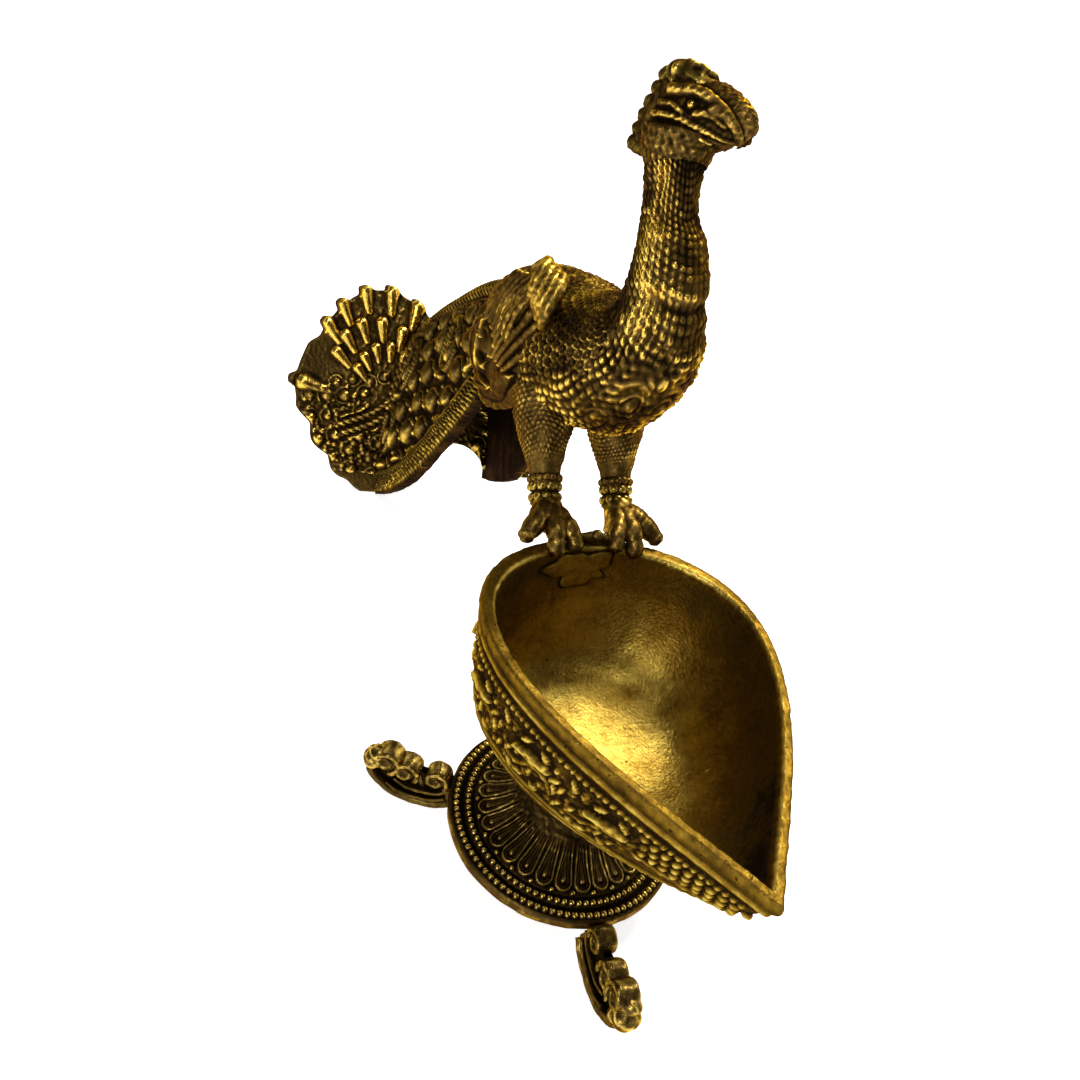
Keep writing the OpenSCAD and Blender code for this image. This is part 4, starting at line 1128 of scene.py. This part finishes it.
    # brighter on the rods, and painted light from above, brighter towards the top of the fan
    brighter[:, :P.shape[1]] = 0.15 + 0.16 * step(rods, 0.5, 1.4) + 0.1 * step(V, 25, 40)
    brighter[:, P.shape[1] + 3:] = 0.06
    p.add_wear_and_light(brighter)
    p.build(TAIL)


def ropes(node, swing, pitch, lean, radius, bias):
    p = Piece(node)
    for side in (-1, 1):
        rows = curve(TRAIN, 60)
        path = arch_grid(rows, np.array([[side * swing]]), -0.3)[:, 0]
        s = run(path[:, None], 0)
        G = tube(path, radius, 30, False)
        t = ring_of(30)[None, :]
        wave = np.cos(TAU * (s / pitch) + side * lean * t)
        h = 0.28 * radius * np.sign(wave) * np.abs(wave) ** 0.6
        p.add(G, h, wrap_v=True, bias=bias, gain=1.6, reach=3)
    p.build(RELIEF)


base_plate()
for foot_node, foot_angle in zip(("front_foot", "left_rear_foot", "right_rear_foot"), FOOT_ANGLES):
    scroll_foot(foot_node, foot_angle)
bowl_stud()
oil_bowl()
braze_pool()
for name, sign in (("left", 1), ("right", -1)):
    claw_foot(name + "_claw_foot", sign)
    anklet(name + "_anklet", sign)
    bird_leg(name + "_leg", sign)
    wing(name + "_wing", sign)
claw_link()
peacock_body()
peacock_head()
head_comb()
nape_crest()
tail_train()
tail_fan()
ropes("ridge_ropes", ROPE_SWING, 1.8, 1.0, ROPE_R, 0.42)
ropes("edge_ropes", EDGE_SWING, 1.2, 1.0, 0.62 * ROPE_R, 0.26)


# ---- floor, light and camera
def backdrop():
    """White paper that runs back behind the lamp and curves up."""
    far, bend, wide = 1.6, 0.8, 30.0
    rows = [(-30.0, 0.0), (far, 0.0)]
    rows += [(far + bend * math.sin(k), bend * (1 - math.cos(k))) for k in np.linspace(0.1, math.pi / 2, 12)]
    rows.append((far + bend, 3.5))
    aim = Vector((-0.72, 0.69, 0)).normalized()
    cross = Vector((-aim.y, aim.x, 0))
    verts = [tuple(aim * s + cross * w + Vector((0, 0, z - 0.0002))) for s, z in rows for w in (-wide, wide)]
    faces = [(2 * i, 2 * i + 1, 2 * i + 3, 2 * i + 2) for i in range(len(rows) - 1)]
    mesh = bpy.data.meshes.new("floor")
    mesh.from_pydata(verts, [], faces)
    for face in mesh.polygons:
        face.use_smooth = True
    m = bpy.data.materials.new("floor_paper")
    m.use_nodes = True
    nodes, links = m.node_tree.nodes, m.node_tree.links
    shader = nodes["Principled BSDF"]
    noise = nodes.new("ShaderNodeTexNoise")
    noise.inputs["Scale"].default_value = 40
    ramp = nodes.new("ShaderNodeValToRGB")
    ramp.color_ramp.elements[0].color = (0.9, 0.9, 0.9, 1)
    ramp.color_ramp.elements[1].color = (0.93, 0.93, 0.93, 1)
    links.new(noise.outputs["Fac"], ramp.inputs[0])
    links.new(ramp.outputs[0], shader.inputs["Base Color"])
    shader.inputs["Roughness"].default_value = 0.95
    shader.inputs["Specular IOR Level"].default_value = 0.0
    shader.inputs["Emission Color"].default_value = (1, 1, 1, 1)
    shader.inputs["Emission Strength"].default_value = 0.75
    mesh.materials.append(m)
    obj = bpy.data.objects.new("floor", mesh)
    bpy.context.scene.collection.objects.link(obj)


def area_light(name, at, aim, size, power, colour=(1, 1, 1)):
    data = bpy.data.lights.new(name, "AREA")
    data.shape = "RECTANGLE"
    data.size, data.size_y = size
    data.energy = power
    data.color = colour
    obj = bpy.data.objects.new(name, data)
    obj.location = at
    obj.rotation_euler = (Vector(aim) - Vector(at)).to_track_quat("-Z", "Y").to_euler()
    bpy.context.scene.collection.objects.link(obj)


backdrop()
area_light("key", (-0.26, 0.3, 0.6), (0.02, 0, 0.04), (0.2, 0.16), 3.2, (1, 0.98, 0.93))
area_light("top", (-0.2, 0.2, 0.62), (0.02, 0, 0.04), (0.14, 0.14), 1.5)
area_light("over", (0.2, -0.1, 0.8), (0, 0, 0.05), (0.24, 0.2), 1.2)
area_light("front", (0.4, -0.42, 0.3), (0, 0, 0.06), (0.14, 0.12), 1.5)
world = bpy.data.worlds.new("studio")
world.use_nodes = True
world.node_tree.nodes["Background"].inputs["Color"].default_value = (1, 1, 1, 1)
world.node_tree.nodes["Background"].inputs["Strength"].default_value = 0.1
bpy.context.scene.world = world
bpy.context.scene.view_settings.view_transform = "Standard"

# the photo's view: the camera's place in mm from the lamp's axis, its right, up and back
EYE_AT = (81.605 + AXIS_X, -65.383, 131.899)
EYE_AXES = ((0.29189, 0.92046, 0.25991), (-0.62696, -0.02109, 0.77877), (0.72231, -0.39027, 0.57093))
camera = bpy.data.cameras.new("camera")
camera.sensor_width, camera.lens, camera.clip_start = 36, 30.07, 0.01
eye = bpy.data.objects.new("camera", camera)
eye.matrix_world = Matrix.Translation(Vector(EYE_AT) * MM) @ Matrix(EYE_AXES).transposed().to_4x4()
bpy.context.scene.collection.objects.link(eye)
bpy.context.scene.camera = eye
